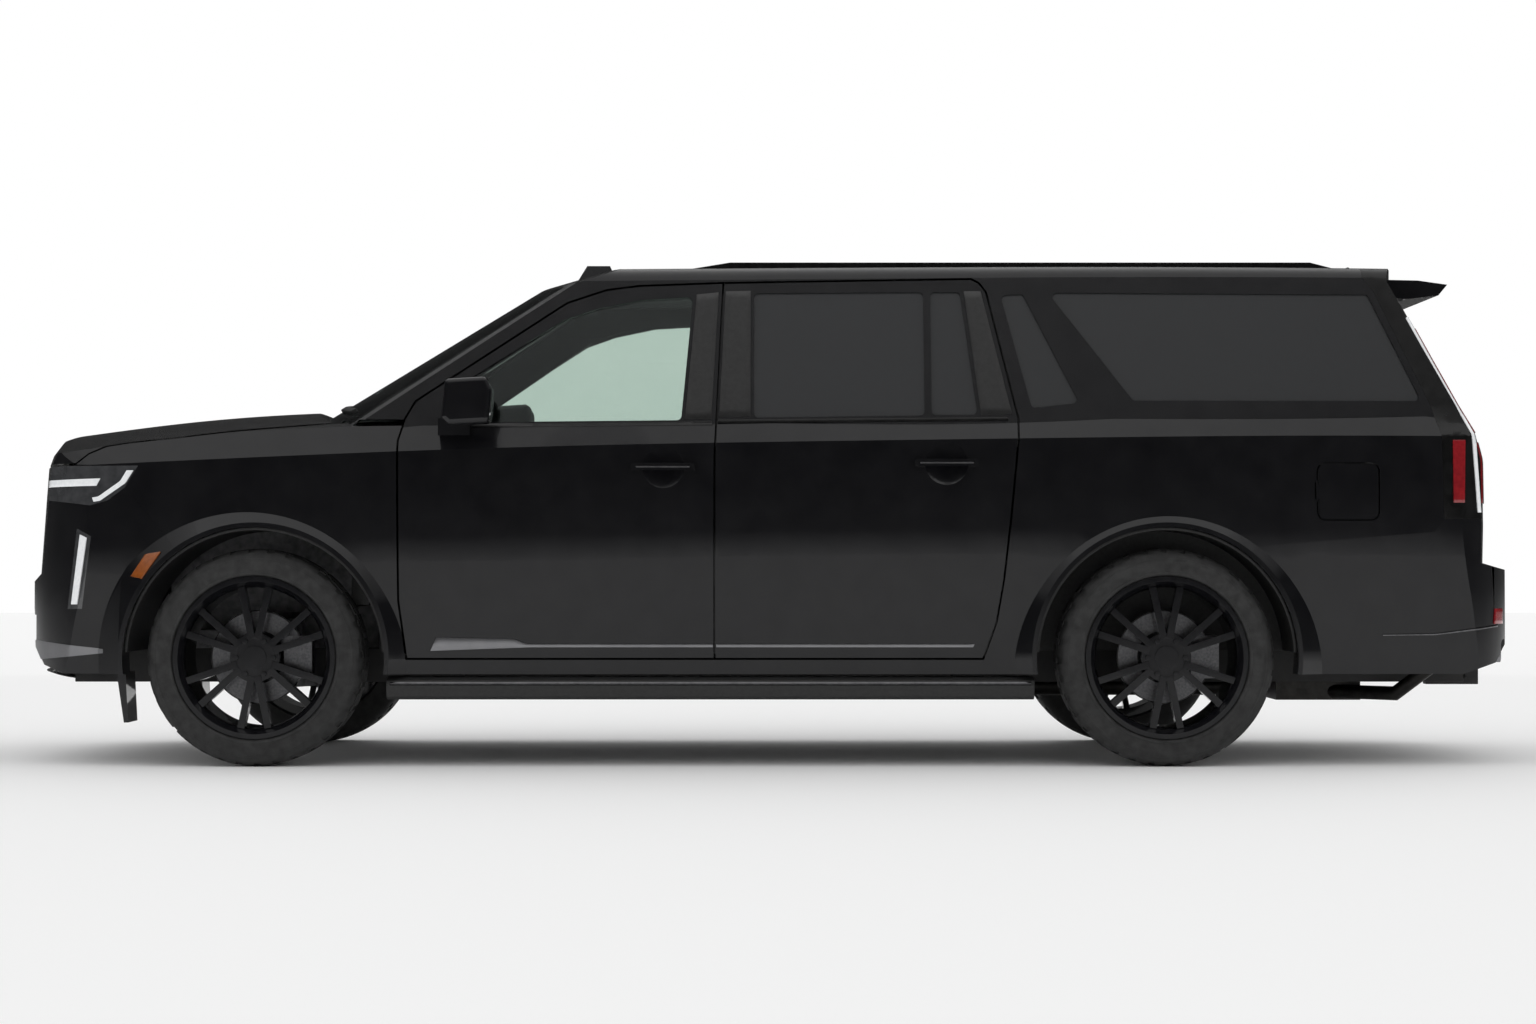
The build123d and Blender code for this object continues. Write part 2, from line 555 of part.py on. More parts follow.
# Front bumper with its grille opening and lower intake
GRILLE_Y = 580.0
GRILLE_Z = (712.0, 1117.0)
INTAKE_Y = 700.0
INTAKE_Z = (463.0, 563.0)
INTAKE_BACK_X = -2790.0
BAY_FRONT_X = -2720.0
BAY_CORNER_X = -2620.0
BAY_CORNER_Y = 600.0
DAY_LAMP_DEPTH = 40.0
CHIN = [(-2836, 350), (-2737, 315), (-2686, 287), (-2408, 259), (-2380, 350)]
CHIN_HALF = 780.0
CHIN_WALL = 75.0
CHIN_BACK_X = -2700.0
FLAP = [(-2440, 352), (-2412, 163), (-2396, 163), (-2406, 352)]
FLAP_Y = (760.0, 950.0)
bay = fender_cavity & (box(BAY_CORNER_X, -1480, -HALF_SPAN, HALF_SPAN, 200, 1400)
                       + box(BAY_FRONT_X, BAY_CORNER_X, -BAY_CORNER_Y, BAY_CORNER_Y, 200, 1400))
day_lamp_well = left_prism(DAY_LAMP, SEAT_FIT) - lower_body(DAY_LAMP_DEPTH, Z_SILL, 0.0)
chin_ring = end_cutter(NOSE_AXIS_X, CHIN) & box(-3000, CHIN[-1][0], -CHIN_HALF, CHIN_HALF, 200, 350)
chin = (chin_ring & lower_body(20.0, CAVITY_FLOOR, 0.0)) - front_corners
chin = chin - (lower_body(CHIN_WALL, CAVITY_FLOOR, 0.0) & box(CHIN_BACK_X, 0, -HALF_SPAN, HALF_SPAN, 200, 360))
with BuildPart() as front_bumper:
    add(low_outer & across(FRONT_BUMPER, FIXED))
    add(bay, mode=Mode.SUBTRACT)
    add(box(-3000, -2600, -GRILLE_Y, GRILLE_Y, GRILLE_Z[0], 1100), mode=Mode.SUBTRACT)
    add(box(-3000, INTAKE_BACK_X, -INTAKE_Y, INTAKE_Y, *INTAKE_Z), mode=Mode.SUBTRACT)
    add(both(day_lamp_well), mode=Mode.SUBTRACT)
    add(chin)
    for side in (-1, 1):
        with BuildSketch(Plane.XZ.offset(-max(side * FLAP_Y[0], side * FLAP_Y[1]))):
            with BuildLine():
                Polyline(*FLAP, close=True)
            make_face()
        extrude(amount=FLAP_Y[1] - FLAP_Y[0])
keep(front_bumper, "front_bumper")

# Grille, a curved block with rows of slots
GRILLE_BARS = 9
GRILLE_PITCH = 42.0
GRILLE_SLOT = 27.0
GRILLE_BACK_X = -2740.0
with BuildPart() as grille:
    add(low_outer & box(-3000, GRILLE_BACK_X, -GRILLE_Y - FIXED, GRILLE_Y + FIXED,
                        GRILLE_Z[0] + SEAT_FIT, GRILLE_Z[1]))
    for bar in range(GRILLE_BARS):
        z = GRILLE_Z[0] + 24 + bar * GRILLE_PITCH
        add(box(-3000, GRILLE_BACK_X - 28, -GRILLE_Y + 26, GRILLE_Y - 26, z, z + GRILLE_SLOT),
            mode=Mode.SUBTRACT)
keep(grille, "grille")

# Headlamps with the upright day lamps below them
with BuildPart() as front_lamps:
    head_lamp = (low_outer & left_prism(LAMP_TOP + LAMP_BOTTOM, FIXED, GRILLE_Y + SEAT_FIT)) - bay
    day_lamp = (low_outer & left_prism(DAY_LAMP)) - lower_body(DAY_LAMP_DEPTH - SEAT_FIT, Z_SILL, 0.0)
    add(both(head_lamp))
    add(both(day_lamp))
keep(front_lamps, "front_lamps")

# Rear bumper
REAR_BUMPER_WALL = 70.0
BUMPER_SHELF_Z = 741.0
GATE_HALF = 790.0
TIP_X = (2640.0, 2775.0)
TIP_Y = 745.0
TIP_Z = 425.0
TIP_SIZE = (120.0, 78.0)
TIP_WALL = 4.0
TIP_GAP = 8.0
with BuildPart() as rear_bumper:
    add(rear_block)
    add(lower_body(REAR_BUMPER_WALL, CAVITY_FLOOR, 0.0) & box(1000, 2740, -HALF_SPAN, HALF_SPAN, 200, 1400),
        mode=Mode.SUBTRACT)
    add(box(2500, 3000, -GATE_HALF, GATE_HALF, BUMPER_SHELF_Z, 1400), mode=Mode.SUBTRACT)
    for side in (-1, 1):
        with BuildSketch(Plane.YZ.offset(TIP_X[0] - 60)):
            with Locations((side * TIP_Y, TIP_Z)):
                RectangleRounded(TIP_SIZE[0] + 2 * TIP_GAP, TIP_SIZE[1] + 2 * TIP_GAP, 26)
        extrude(amount=400, mode=Mode.SUBTRACT)
keep(rear_bumper, "rear_bumper")

# Tail lamps with the rear pillar covers
with BuildPart() as tail_lamps:
    add(both((left_outer & left_prism(TAIL_LAMP, FIXED, ROOF_SEAM_Y - FIXED)) - left_cavity))
keep(tail_lamps, "tail_lamps")

# Tailgate, inside the rear opening, with the spoiler and a plate recess
GATE_GAP = 8.0
GATE_GAP_UP = 14.0
GATE_BOTTOM_Z = BUMPER_SHELF_Z + GATE_GAP
GATE_FRONT_X = ROOF_END_X + GATE_GAP
GATE_PANE = [(-640, 1372), (640, 1372), (570, 1735), (-570, 1735)]
GATE_GLASS_IN = 6.0
GATE_GLASS_T = 8.0
SPOILER = [(2300, 1846), (2487, 1842), (2600, 1826), (2566, 1785), (2440, 1770), (2300, 1790)]
SPOILER_HALF = 690.0
GATE_PIVOT_FOOT = (GATE_PIVOT[0], 2300.0)
PLATE_X = 2784.0
PLATE_Z = 1000.0
PLATE_SIZE = (340.0, 180.0)
PLATE_HOLE_R = 3.0
PLATE_HOLE_SPACING = 178.0


def rear_prism(outline, grow=0.0):
    with BuildPart() as solid:
        with BuildSketch(Plane.YZ.offset(2200)):
            with BuildLine():
                Polyline(*outline, close=True)
            make_face()
            if grow:
                offset(amount=grow, kind=Kind.INTERSECTION)
        extrude(amount=900)
    return solid.part


def tail_slab(depth0, depth1):
    return (Pos(-depth1, 0, 0) * tail_cut) - (Pos(-depth0, 0, 0) * tail_cut if depth0 else tail_cut)


with BuildPart() as tailgate:
    add(whole_body(WALL_LOW + GATE_GAP, WALL_UP + GATE_GAP_UP) & tail_slab(0.0, TAILGATE_WALL))
    add(box(2000, 3000, -HALF_SPAN, HALF_SPAN, GATE_BOTTOM_Z, 2000), mode=Mode.INTERSECT)
    add(up_outer & box(GATE_FRONT_X, 3000, -ROOF_SEAM_Y + GATE_GAP, ROOF_SEAM_Y - GATE_GAP, 1768, 2000))
    with BuildSketch(Plane.XZ.offset(-SPOILER_HALF)):
        with BuildLine():
            Polyline(*SPOILER, close=True)
        make_face()
    extrude(amount=2 * SPOILER_HALF)
    add(rear_prism(GATE_PANE), mode=Mode.SUBTRACT)
    gate_slot = tail_slab(GATE_GLASS_IN - SEAT_FIT, GATE_GLASS_IN + GATE_GLASS_T + SEAT_FIT)
    add(gate_slot & rear_prism(GATE_PANE, GLASS_LAP + SEAT_FIT), mode=Mode.SUBTRACT)
    add(box(PLATE_X, 3000, -PLATE_SIZE[0] / 2, PLATE_SIZE[0] / 2, PLATE_Z - PLATE_SIZE[1] / 2,
            PLATE_Z + PLATE_SIZE[1] / 2), mode=Mode.SUBTRACT)
    with BuildSketch(Plane.YZ.offset(PLATE_X)):
        with Locations((0, PLATE_Z + 55)):
            with GridLocations(PLATE_HOLE_SPACING, 1, 2, 1):
                Circle(PLATE_HOLE_R)
    extrude(amount=-30, mode=Mode.SUBTRACT)
    for side in (-1, 1):
        y0 = side * GATE_HINGE_Y - GATE_KNUCKLE_HALF
        y1 = side * GATE_HINGE_Y + GATE_KNUCKLE_HALF
        add(cross_cylinder(*GATE_PIVOT, y0 - 16, y1 + 16, GATE_KNUCKLE_R + 4), mode=Mode.SUBTRACT)
        add(cross_cylinder(*GATE_PIVOT, y0, y1, GATE_KNUCKLE_R))
        add(box(*GATE_PIVOT_FOOT, y0, y1, GATE_PIVOT[1] - 25, GATE_PIVOT[1]))
        add(cross_cylinder(*GATE_PIVOT, y0 - 1, y1 + 1, GATE_PIN_R + PIN_CLEARANCE), mode=Mode.SUBTRACT)
keep(tailgate, "tailgate")
with BuildPart() as tailgate_glass:
    gate_slab = tail_slab(GATE_GLASS_IN, GATE_GLASS_IN + GATE_GLASS_T)
    add(gate_slab & rear_prism(GATE_PANE, GLASS_LAP))
keep(tailgate_glass, "tailgate_glass")

# Ladder frame with the hitch receiver
RAIL_INNER_Y = 400.0
RAIL_OUTER_Y = 480.0
FRAME_Z = (300.0, 430.0)
FRAME_X = (-2690.0, 2700.0)
CROSSMEMBERS = [(-2640.0, 430.0), (-1500.0, 340.0), (-600.0, 340.0), (400.0, 340.0), (2660.0, 430.0)]
CROSSMEMBER_W = 80.0
RECEIVER_OUT = 66.0
RECEIVER_IN = 50.8
RECEIVER_Z = 308.0
RECEIVER_X = (2640.0, 2850.0)
RECEIVER_PIN_R = 8.0
with BuildPart() as ladder_frame:
    for side in (-1, 1):
        add(box(*FRAME_X, min(side * RAIL_INNER_Y, side * RAIL_OUTER_Y),
                max(side * RAIL_INNER_Y, side * RAIL_OUTER_Y), *FRAME_Z))
    for x, top in CROSSMEMBERS:
        add(box(x - CROSSMEMBER_W / 2, x + CROSSMEMBER_W / 2, -RAIL_INNER_Y, RAIL_INNER_Y, FRAME_Z[0], top))
    add(box(*RECEIVER_X, -RECEIVER_OUT / 2, RECEIVER_OUT / 2, RECEIVER_Z - RECEIVER_OUT / 2,
            RECEIVER_Z + RECEIVER_OUT / 2))
    add(box(RECEIVER_X[0] + 70, 3000, -RECEIVER_IN / 2, RECEIVER_IN / 2, RECEIVER_Z - RECEIVER_IN / 2,
            RECEIVER_Z + RECEIVER_IN / 2), mode=Mode.SUBTRACT)
    add(cross_cylinder(RECEIVER_X[1] - 60, RECEIVER_Z, -100, 100, RECEIVER_PIN_R), mode=Mode.SUBTRACT)
    add(cross_cylinder(X_REAR_AXLE, TYRE_R, -600, 600, 50.0), mode=Mode.SUBTRACT)
keep(ladder_frame, "ladder_frame")

# Floor with tunnel, firewall and the cowl under the windscreen
FLOOR_Z = (FRAME_Z[1], 465.0)
FIREWALL_X = (-1510.0, -1480.0)
TUNNEL_Y = 190.0
TUNNEL_Z = 620.0
TUNNEL_WALL = 12.0
COWL_LAP = 30.0
with BuildPart() as floor_pan:
    add(wall_cavity & box(FIREWALL_X[0], 2700, -HALF_SPAN, HALF_SPAN, *FLOOR_Z))
    add(fender_cavity & box(*FIREWALL_X, -HALF_SPAN, HALF_SPAN, FLOOR_Z[0], 1400))
    add(box(FIREWALL_X[0], 1800, -TUNNEL_Y - TUNNEL_WALL, TUNNEL_Y + TUNNEL_WALL, FLOOR_Z[0], TUNNEL_Z))
    add(box(-1700, 1800 - TUNNEL_WALL, -TUNNEL_Y, TUNNEL_Y, 300, TUNNEL_Z - TUNNEL_WALL), mode=Mode.SUBTRACT)
    for axle_x, inner_y in axles:
        add(both(cross_cylinder(axle_x, TYRE_R, inner_y - 8, HALF_SPAN, ARCH_R + 2)), mode=Mode.SUBTRACT)
    cowl_zone = box(-2000, FIREWALL_X[1], -COWL_HALF, COWL_HALF, 1100, 1500)
    cowl_shell = lower_body(0.0, Z_SILL, COWL_DROP) - fender_cavity
    add((cowl_shell & cowl_zone) - ahead_of_arc(HOOD_REAR_X - COWL_LAP))
    add(both(box(TIP_X[0] - 150, 2800, TIP_Y - TIP_SIZE[0] / 2 - 30, HALF_SPAN, 380, 520)), mode=Mode.SUBTRACT)
keep(floor_pan, "floor_pan")

# Engine with gearbox and driveshaft
with BuildPart() as engine:
    add(box(-2350, -1640, -290, 290, 470, 1060))
    add(box(-2250, -1700, -180, 180, 350, 475))
    add(box(-1640, -850, -165, 165, 350, 590))
    for side in (-1, 1):
        y0, y1 = sorted((side * 280, side * RAIL_OUTER_Y))
        add(box(-2250, -2120, y0, y1, FRAME_Z[1], 500))
    with BuildSketch(Plane.YZ.offset(-850)):
        with Locations((0, TYRE_R)):
            Circle(38)
    extrude(amount=X_REAR_AXLE - 130 + 850 - SEAT_FIT)
keep(engine, "engine")

# Exhaust: front pipe, silencer hung from the floor, and a tail pipe with a flat tip on each side
PIPE_R = 36.0
PIPE_Y = 280.0
PIPE_Z = 256.0
PIPE_X = -1100.0
TAIL_PIPE_R = 27.0
TAIL_PIPE_Z = 258.0
SILENCER = (1990.0, 2320.0, -360.0, 360.0, 225.0, FLOOR_Z[0])
with BuildPart() as exhaust:
    add(box(*SILENCER))
    with BuildSketch(Plane.YZ.offset(PIPE_X)):
        with Locations((PIPE_Y, PIPE_Z)):
            Circle(PIPE_R)
    extrude(amount=SILENCER[0] + 10 - PIPE_X)
    for side in (-1, 1):
        with BuildLine() as run:
            Polyline((2200, side * 330, TAIL_PIPE_Z), (2420, side * 560, TAIL_PIPE_Z),
                     (TIP_X[0] - 40, side * TIP_Y, TIP_Z), (TIP_X[0] + 20, side * TIP_Y, TIP_Z))
        with BuildSketch(Plane(origin=run.line @ 0, z_dir=run.line % 0)):
            Circle(TAIL_PIPE_R)
        sweep(path=run.line, transition=Transition.RIGHT)
        with BuildSketch(Plane.YZ.offset(TIP_X[0])):
            with Locations((side * TIP_Y, TIP_Z)):
                RectangleRounded(*TIP_SIZE, 20)
        extrude(amount=TIP_X[1] - TIP_X[0])
        with BuildSketch(Plane.YZ.offset(TIP_X[0] + 30)):
            with Locations((side * TIP_Y, TIP_Z)):
                RectangleRounded(TIP_SIZE[0] - 2 * TIP_WALL, TIP_SIZE[1] - 2 * TIP_WALL, 16)
        extrude(amount=TIP_X[1] - TIP_X[0], mode=Mode.SUBTRACT)
keep(exhaust, "exhaust")

# Front suspension arms, with ball studs for the steered knuckles
KING_Y = 820.0
STUD_R = 10.0
LOWER_ARM_Z = (285.0, 313.0)
UPPER_ARM_Z = (547.0, 572.0)
KNUCKLE_Z = (320.0, 540.0)
STUD_DEPTH = 26.0
with BuildPart() as front_suspension:
    for side in (-1, 1):
        for base_half, arm_z in ((170.0, LOWER_ARM_Z), (110.0, UPPER_ARM_Z)):
            with BuildSketch(Plane.XY.offset(arm_z[0])):
                with BuildLine():
                    Polyline((X_FRONT_AXLE - base_half, side * RAIL_OUTER_Y),
                             (X_FRONT_AXLE + base_half, side * RAIL_OUTER_Y),
                             (X_FRONT_AXLE + 28, side * (KING_Y + 24)),
                             (X_FRONT_AXLE - 28, side * (KING_Y + 24)), close=True)
                make_face()
            extrude(amount=arm_z[1] - arm_z[0])
        y0, y1 = sorted((side * (RAIL_INNER_Y + 10), side * RAIL_OUTER_Y))
        add(box(X_FRONT_AXLE - 110, X_FRONT_AXLE + 110, y0, y1, FRAME_Z[1], UPPER_ARM_Z[1]))
        for z in (LOWER_ARM_Z[1] + STUD_DEPTH / 2, UPPER_ARM_Z[0] - STUD_DEPTH / 2):
            with Locations((X_FRONT_AXLE, side * KING_Y, z)):
                Cylinder(STUD_R, STUD_DEPTH)
    add(box(X_FRONT_AXLE + 170, X_FRONT_AXLE + 200, -RAIL_OUTER_Y, RAIL_OUTER_Y, 270, FRAME_Z[0]))
keep(front_suspension, "front_suspension")

# Hub carriers: upright, spindle, caliper bracket and caliper, left side at x = 0
SPINDLE_R = 34.0
SPINDLE_END_Y = 930.0
DISC_R = 177.0
DISC_Y = (862.0, 888.0)
CALIPER_X = (100.0, 205.0)
CALIPER_HALF_H = 80.0
CALIPER_Y = (838.0, 914.0)
DISC_CLEARANCE = 6.0
UPRIGHT_Y = (794.0, 846.0)
carrier = box(-32, 32, -UPRIGHT_Y[1], -UPRIGHT_Y[0], *KNUCKLE_Z)
carrier = carrier + cross_cylinder(0, TYRE_R, -SPINDLE_END_Y, -UPRIGHT_Y[0], SPINDLE_R)
carrier = carrier + box(0, CALIPER_X[1] - 20, -CALIPER_Y[0] - 5, -UPRIGHT_Y[0], TYRE_R - 40, TYRE_R + 40)
caliper = box(*CALIPER_X, -CALIPER_Y[1], -CALIPER_Y[0], TYRE_R - CALIPER_HALF_H, TYRE_R + CALIPER_HALF_H)
caliper = caliper - cross_cylinder(0, TYRE_R, -DISC_Y[1] - DISC_CLEARANCE, -DISC_Y[0] + DISC_CLEARANCE,
                                   DISC_R + DISC_CLEARANCE)
carrier = carrier + caliper
with BuildPart() as carrier_studs:
    for z in (KNUCKLE_Z[0], KNUCKLE_Z[1]):
        with Locations((0, -KING_Y, z)):
            Cylinder(STUD_R + PIN_CLEARANCE, 2 * STUD_DEPTH)
with BuildPart() as knuckle_left:
    add(Pos(X_FRONT_AXLE, 0, 0) * (carrier - carrier_studs.part))
keep(knuckle_left, "knuckle_left")
with BuildPart() as knuckle_right:
    mirror(knuckle_left.part, about=Plane.XZ)
keep(knuckle_right, "knuckle_right")

# Rear axle: differential, half shafts, hub carriers and lower arms
with BuildPart() as rear_axle:
    add(box(X_REAR_AXLE - 130, X_REAR_AXLE + 130, -140, 140, 310, 560))
    add(cross_cylinder(X_REAR_AXLE, TYRE_R, -UPRIGHT_Y[0] - 5, UPRIGHT_Y[0] + 5, 22.0))
    add(both(Pos(X_REAR_AXLE, 0, 0) * carrier))
    for side in (-1, 1):
        y0, y1 = sorted((side * RAIL_OUTER_Y, side * UPRIGHT_Y[1]))
        add(box(X_REAR_AXLE - 32, X_REAR_AXLE + 32, y0, y1, KNUCKLE_Z[0], KNUCKLE_Z[0] + 28))
keep(rear_axle, "rear_axle")

# Wheels, left pattern at x = 0: rim with twin spokes and brake disc, and tyre
RIM_OUTLINE = [(262, 735), (296, 735), (296, 743), (BEAD_R - RIM_SEAT_GAP, 745),
               (BEAD_R - RIM_SEAT_GAP, 995), (RIM_LIP_R, 997), (RIM_LIP_R, 1006), (285, 1006), (270, 985),
               (262, 960)]
TYRE_OUTLINE = [(BEAD_R, 745.5), (297, 744), (306, 730), (345, 727.5), (380, 735), (400, 760), (TYRE_R, 792),
                (TYRE_R, 948), (400, 980), (380, 1005), (345, 1012.5), (310, 1009), (304, 996.5),
                (BEAD_R, 994.5)]
HUB_R = 92.0
HUB_Y = (925.0, 984.0)
SPOKE_PAIRS = 6
SPOKE_SPLIT = 11.0
SPOKE_Y = (932.0, 986.0)
SPOKE_W = 26.0
LUG_CIRCLE_R = 69.85
LUG_R = 11.0
LUG_H = 12.0
HUB_CAP_R = 44.0
HUB_CAP_H = 6.0
with BuildPart() as rim_base:
    add(turned(0, TYRE_R, [(radius, -y) for radius, y in RIM_OUTLINE]))
    add(cross_cylinder(0, TYRE_R, -HUB_Y[1], -HUB_Y[0], HUB_R))
    add(cross_cylinder(0, TYRE_R, -HUB_Y[0] - 1, -DISC_Y[0], 78.0))
    add(cross_cylinder(0, TYRE_R, -DISC_Y[1], -DISC_Y[0], DISC_R))
    with BuildSketch(Plane.XZ.offset(SPOKE_Y[0])):
        for pair in range(SPOKE_PAIRS):
            for split in (-1, 1):
                angle = radians(90 + 360 / SPOKE_PAIRS * pair + split * SPOKE_SPLIT)
                start = radians(90 + 360 / SPOKE_PAIRS * pair + split * SPOKE_SPLIT * 0.8)
                foot = (70 * cos(start), TYRE_R + 70 * sin(start))
                tip = (268 * cos(angle), TYRE_R + 268 * sin(angle))
                across_x = SPOKE_W / 2 * sin(angle)
                across_z = SPOKE_W / 2 * cos(angle)
                with BuildLine():
                    Polyline((foot[0] - across_x, foot[1] + across_z), (tip[0] - across_x, tip[1] + across_z),
                             (tip[0] + across_x, tip[1] - across_z), (foot[0] + across_x, foot[1] - across_z),
                             close=True)
                make_face()
    extrude(amount=SPOKE_Y[1] - SPOKE_Y[0])
    with BuildSketch(Plane.XZ.offset(HUB_Y[1])):
        with Locations((0, TYRE_R)):
            with PolarLocations(LUG_CIRCLE_R, SPOKE_PAIRS, start_angle=0):
                RegularPolygon(LUG_R, 6)
    extrude(amount=LUG_H)
    add(cross_cylinder(0, TYRE_R, -HUB_Y[1] - HUB_CAP_H, -HUB_Y[1], HUB_CAP_R))
    add(cross_cylinder(0, TYRE_R, -SPINDLE_END_Y - 5, -DISC_Y[0], SPINDLE_R + PIN_CLEARANCE),
        mode=Mode.SUBTRACT)
with BuildPart() as tyre_base:
    add(turned(0, TYRE_R, [(radius, -y) for radius, y in TYRE_OUTLINE]))
WHEELS = [("front", X_FRONT_AXLE), ("rear", X_REAR_AXLE)]
for end_name, axle_x in WHEELS:
    for base, kind in ((rim_base, "rim"), (tyre_base, "tyre")):
        with BuildPart() as left_piece:
            add(Pos(axle_x, 0, 0) * base.part)
        keep(left_piece, f"{kind}_{end_name}_left")
        with BuildPart() as right_piece:
            mirror(left_piece.part, about=Plane.XZ)
        keep(right_piece, f"{kind}_{end_name}_right")

# Wheel-house liners
LINER_R = (476.0, ARCH_R - SEAT_FIT)
LINER_HOLE_R = 60.0
with BuildPart() as wheel_liners:
    for axle_x, inner_y in axles:
        ring = turned(axle_x, TYRE_R, [(LINER_R[0], -inner_y - 8), (LINER_R[1], -inner_y - 8),
                                       (LINER_R[1], -985), (LINER_R[0], -985)])
        add(both(ring & box(-3000, 3000, -HALF_SPAN, 0, TYRE_R + 20, 1200)))
    inner_wall = turned(X_REAR_AXLE, TYRE_R, [(LINER_HOLE_R, -ARCH_INNER_Y - 8), (LINER_R[1], -ARCH_INNER_Y - 8),
                                              (LINER_R[1], -ARCH_INNER_Y - 16), (LINER_HOLE_R, -ARCH_INNER_Y - 16)])
    add(both(inner_wall & box(-3000, 3000, -HALF_SPAN, 0, TYRE_R + 20, 1200)))
keep(wheel_liners, "wheel_liners")

# Running boards on posts under the sills
BOARD_X = (-1425.0, 995.0)
BOARD_SECTION = [(815, 270), (815, 335), (955, 335), (992, 322), (1002, 303), (990, 262), (965, 250), (840, 250)]
BOARD_POSTS = (-1200.0, -200.0, 750.0)
with BuildPart() as running_boards:
    for side in (-1, 1):
        with BuildSketch(Plane.YZ.offset(BOARD_X[0])):
            with BuildLine():
                Polyline(*[(side * y, z) for y, z in BOARD_SECTION], close=True)
            make_face()
        extrude(amount=BOARD_X[1] - BOARD_X[0])
        for x in BOARD_POSTS:
            y0, y1 = sorted((side * 850, side * 930))
            add(box(x - 60, x + 60, y0, y1, BOARD_SECTION[1][1], Z_SILL))
keep(running_boards, "running_boards")

# Outside mirrors standing on the front doors
MIRROR_HEAD = [(-1206, 1296), (-1192, 1440), (-1040, 1449), (-1020, 1400), (-1030, 1278), (-1180, 1270)]
MIRROR_Y = (1012.0, 1178.0)
MIRROR_R = 20.0
with BuildPart() as mirror_left:
    with BuildSketch(Plane.XZ.offset(MIRROR_Y[0])):
        with BuildLine():
            Polyline(*MIRROR_HEAD, close=True)
        make_face()
    extrude(amount=MIRROR_Y[1] - MIRROR_Y[0])
    fillet(mirror_left.edges(), MIRROR_R)
    add(box(-1230, -1110, -MIRROR_Y[0] - 20, -940, 1236, 1300))
    add(left_outer, mode=Mode.SUBTRACT)
keep(mirror_left, "mirror_left")
with BuildPart() as mirror_right:
    mirror(mirror_left.part, about=Plane.XZ)
keep(mirror_right, "mirror_right")

# Dashboard with the steering column
DASH = [(-1479.5, 760), (-1479.5, 1262), (-1300, 1285), (-1010, 1235), (-960, 1120), (-1060, 800)]
DASH_HALF = 742.0
COLUMN_Y = -380.0
COLUMN_TILT = 25.0
WHEEL_CENTRE = (-760.0, COLUMN_Y, 1110.0)
COLUMN_R = 26.0
COLUMN_PIN_R = 10.0
column_plane = Plane(origin=WHEEL_CENTRE, x_dir=(0, 1, 0),
                     z_dir=(cos(radians(COLUMN_TILT)), 0, sin(radians(COLUMN_TILT))))
with BuildPart() as dashboard:
    with BuildSketch(Plane.XZ.offset(-DASH_HALF)):
        with BuildLine():
            Polyline(*DASH, close=True)
        make_face()
    extrude(amount=2 * DASH_HALF)
    with BuildSketch(column_plane.offset(-40)):
        Circle(COLUMN_R)
    extrude(amount=-330)
    with BuildSketch(column_plane.offset(-45)):
        Circle(COLUMN_PIN_R)
    extrude(amount=45)
keep(dashboard, "dashboard")
STEER_RING_R = 182.0
STEER_GRIP_R = 16.0
with BuildPart() as steering_wheel:
    with BuildSketch(column_plane.offset(-34)):
        Circle(58)
    extrude(amount=50)
    with BuildSketch(column_plane.offset(-8)):
        Rectangle(2 * STEER_RING_R - 10, 44)
    extrude(amount=18)
    with BuildSketch(Plane(origin=WHEEL_CENTRE, x_dir=(0, 1, 0), z_dir=column_plane.y_dir)):
        with Locations((STEER_RING_R, 0)):
            Circle(STEER_GRIP_R)
    revolve(axis=Axis(WHEEL_CENTRE, column_plane.z_dir), revolution_arc=360)
    with BuildSketch(column_plane.offset(-40)):
        Circle(COLUMN_PIN_R + PIN_CLEARANCE)
    extrude(amount=42, mode=Mode.SUBTRACT)
keep(steering_wheel, "steering_wheel")

# Seats in three rows, as (x shift, y centre, width)
SEAT_BASE = [(-640, FLOOR_Z[1]), (-660, 690), (-200, 690), (-220, FLOOR_Z[1])]
SEAT_CUSHION = [(-720, 690), (-735, 800), (-680, 830), (-260, 800), (-220, 690)]
SEAT_BACK = [(-300, 690), (-290, 830), (-180, 1425), (-80, 1425), (-110, 1100), (-180, 690)]
SEAT_HEAD = [(-190, 1400), (-195, 1590), (-110, 1610), (-90, 1400)]
SEATS = [(0.0, -430.0, 520.0), (0.0, 430.0, 520.0), (930.0, -430.0, 520.0), (930.0, 430.0, 520.0),
         (1830.0, 0.0, 1180.0)]
with BuildPart() as seats:
    for shift, centre_y, width in SEATS:
        for outline, share in ((SEAT_BASE, 0.8), (SEAT_CUSHION, 1.0), (SEAT_BACK, 0.98), (SEAT_HEAD, 0.55)):
            half = width * share / 2
            with BuildSketch(Plane.XZ.offset(-centre_y - half)):
                with BuildLine():
                    Polyline(*[(x + shift, z) for x, z in outline], close=True)
                make_face()
            extrude(amount=2 * half)
    add(box(FIREWALL_X[0], 1800, -TUNNEL_Y - TUNNEL_WALL, TUNNEL_Y + TUNNEL_WALL, 300, TUNNEL_Z),
        mode=Mode.SUBTRACT)
keep(seats, "seats")
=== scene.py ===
import json
import math

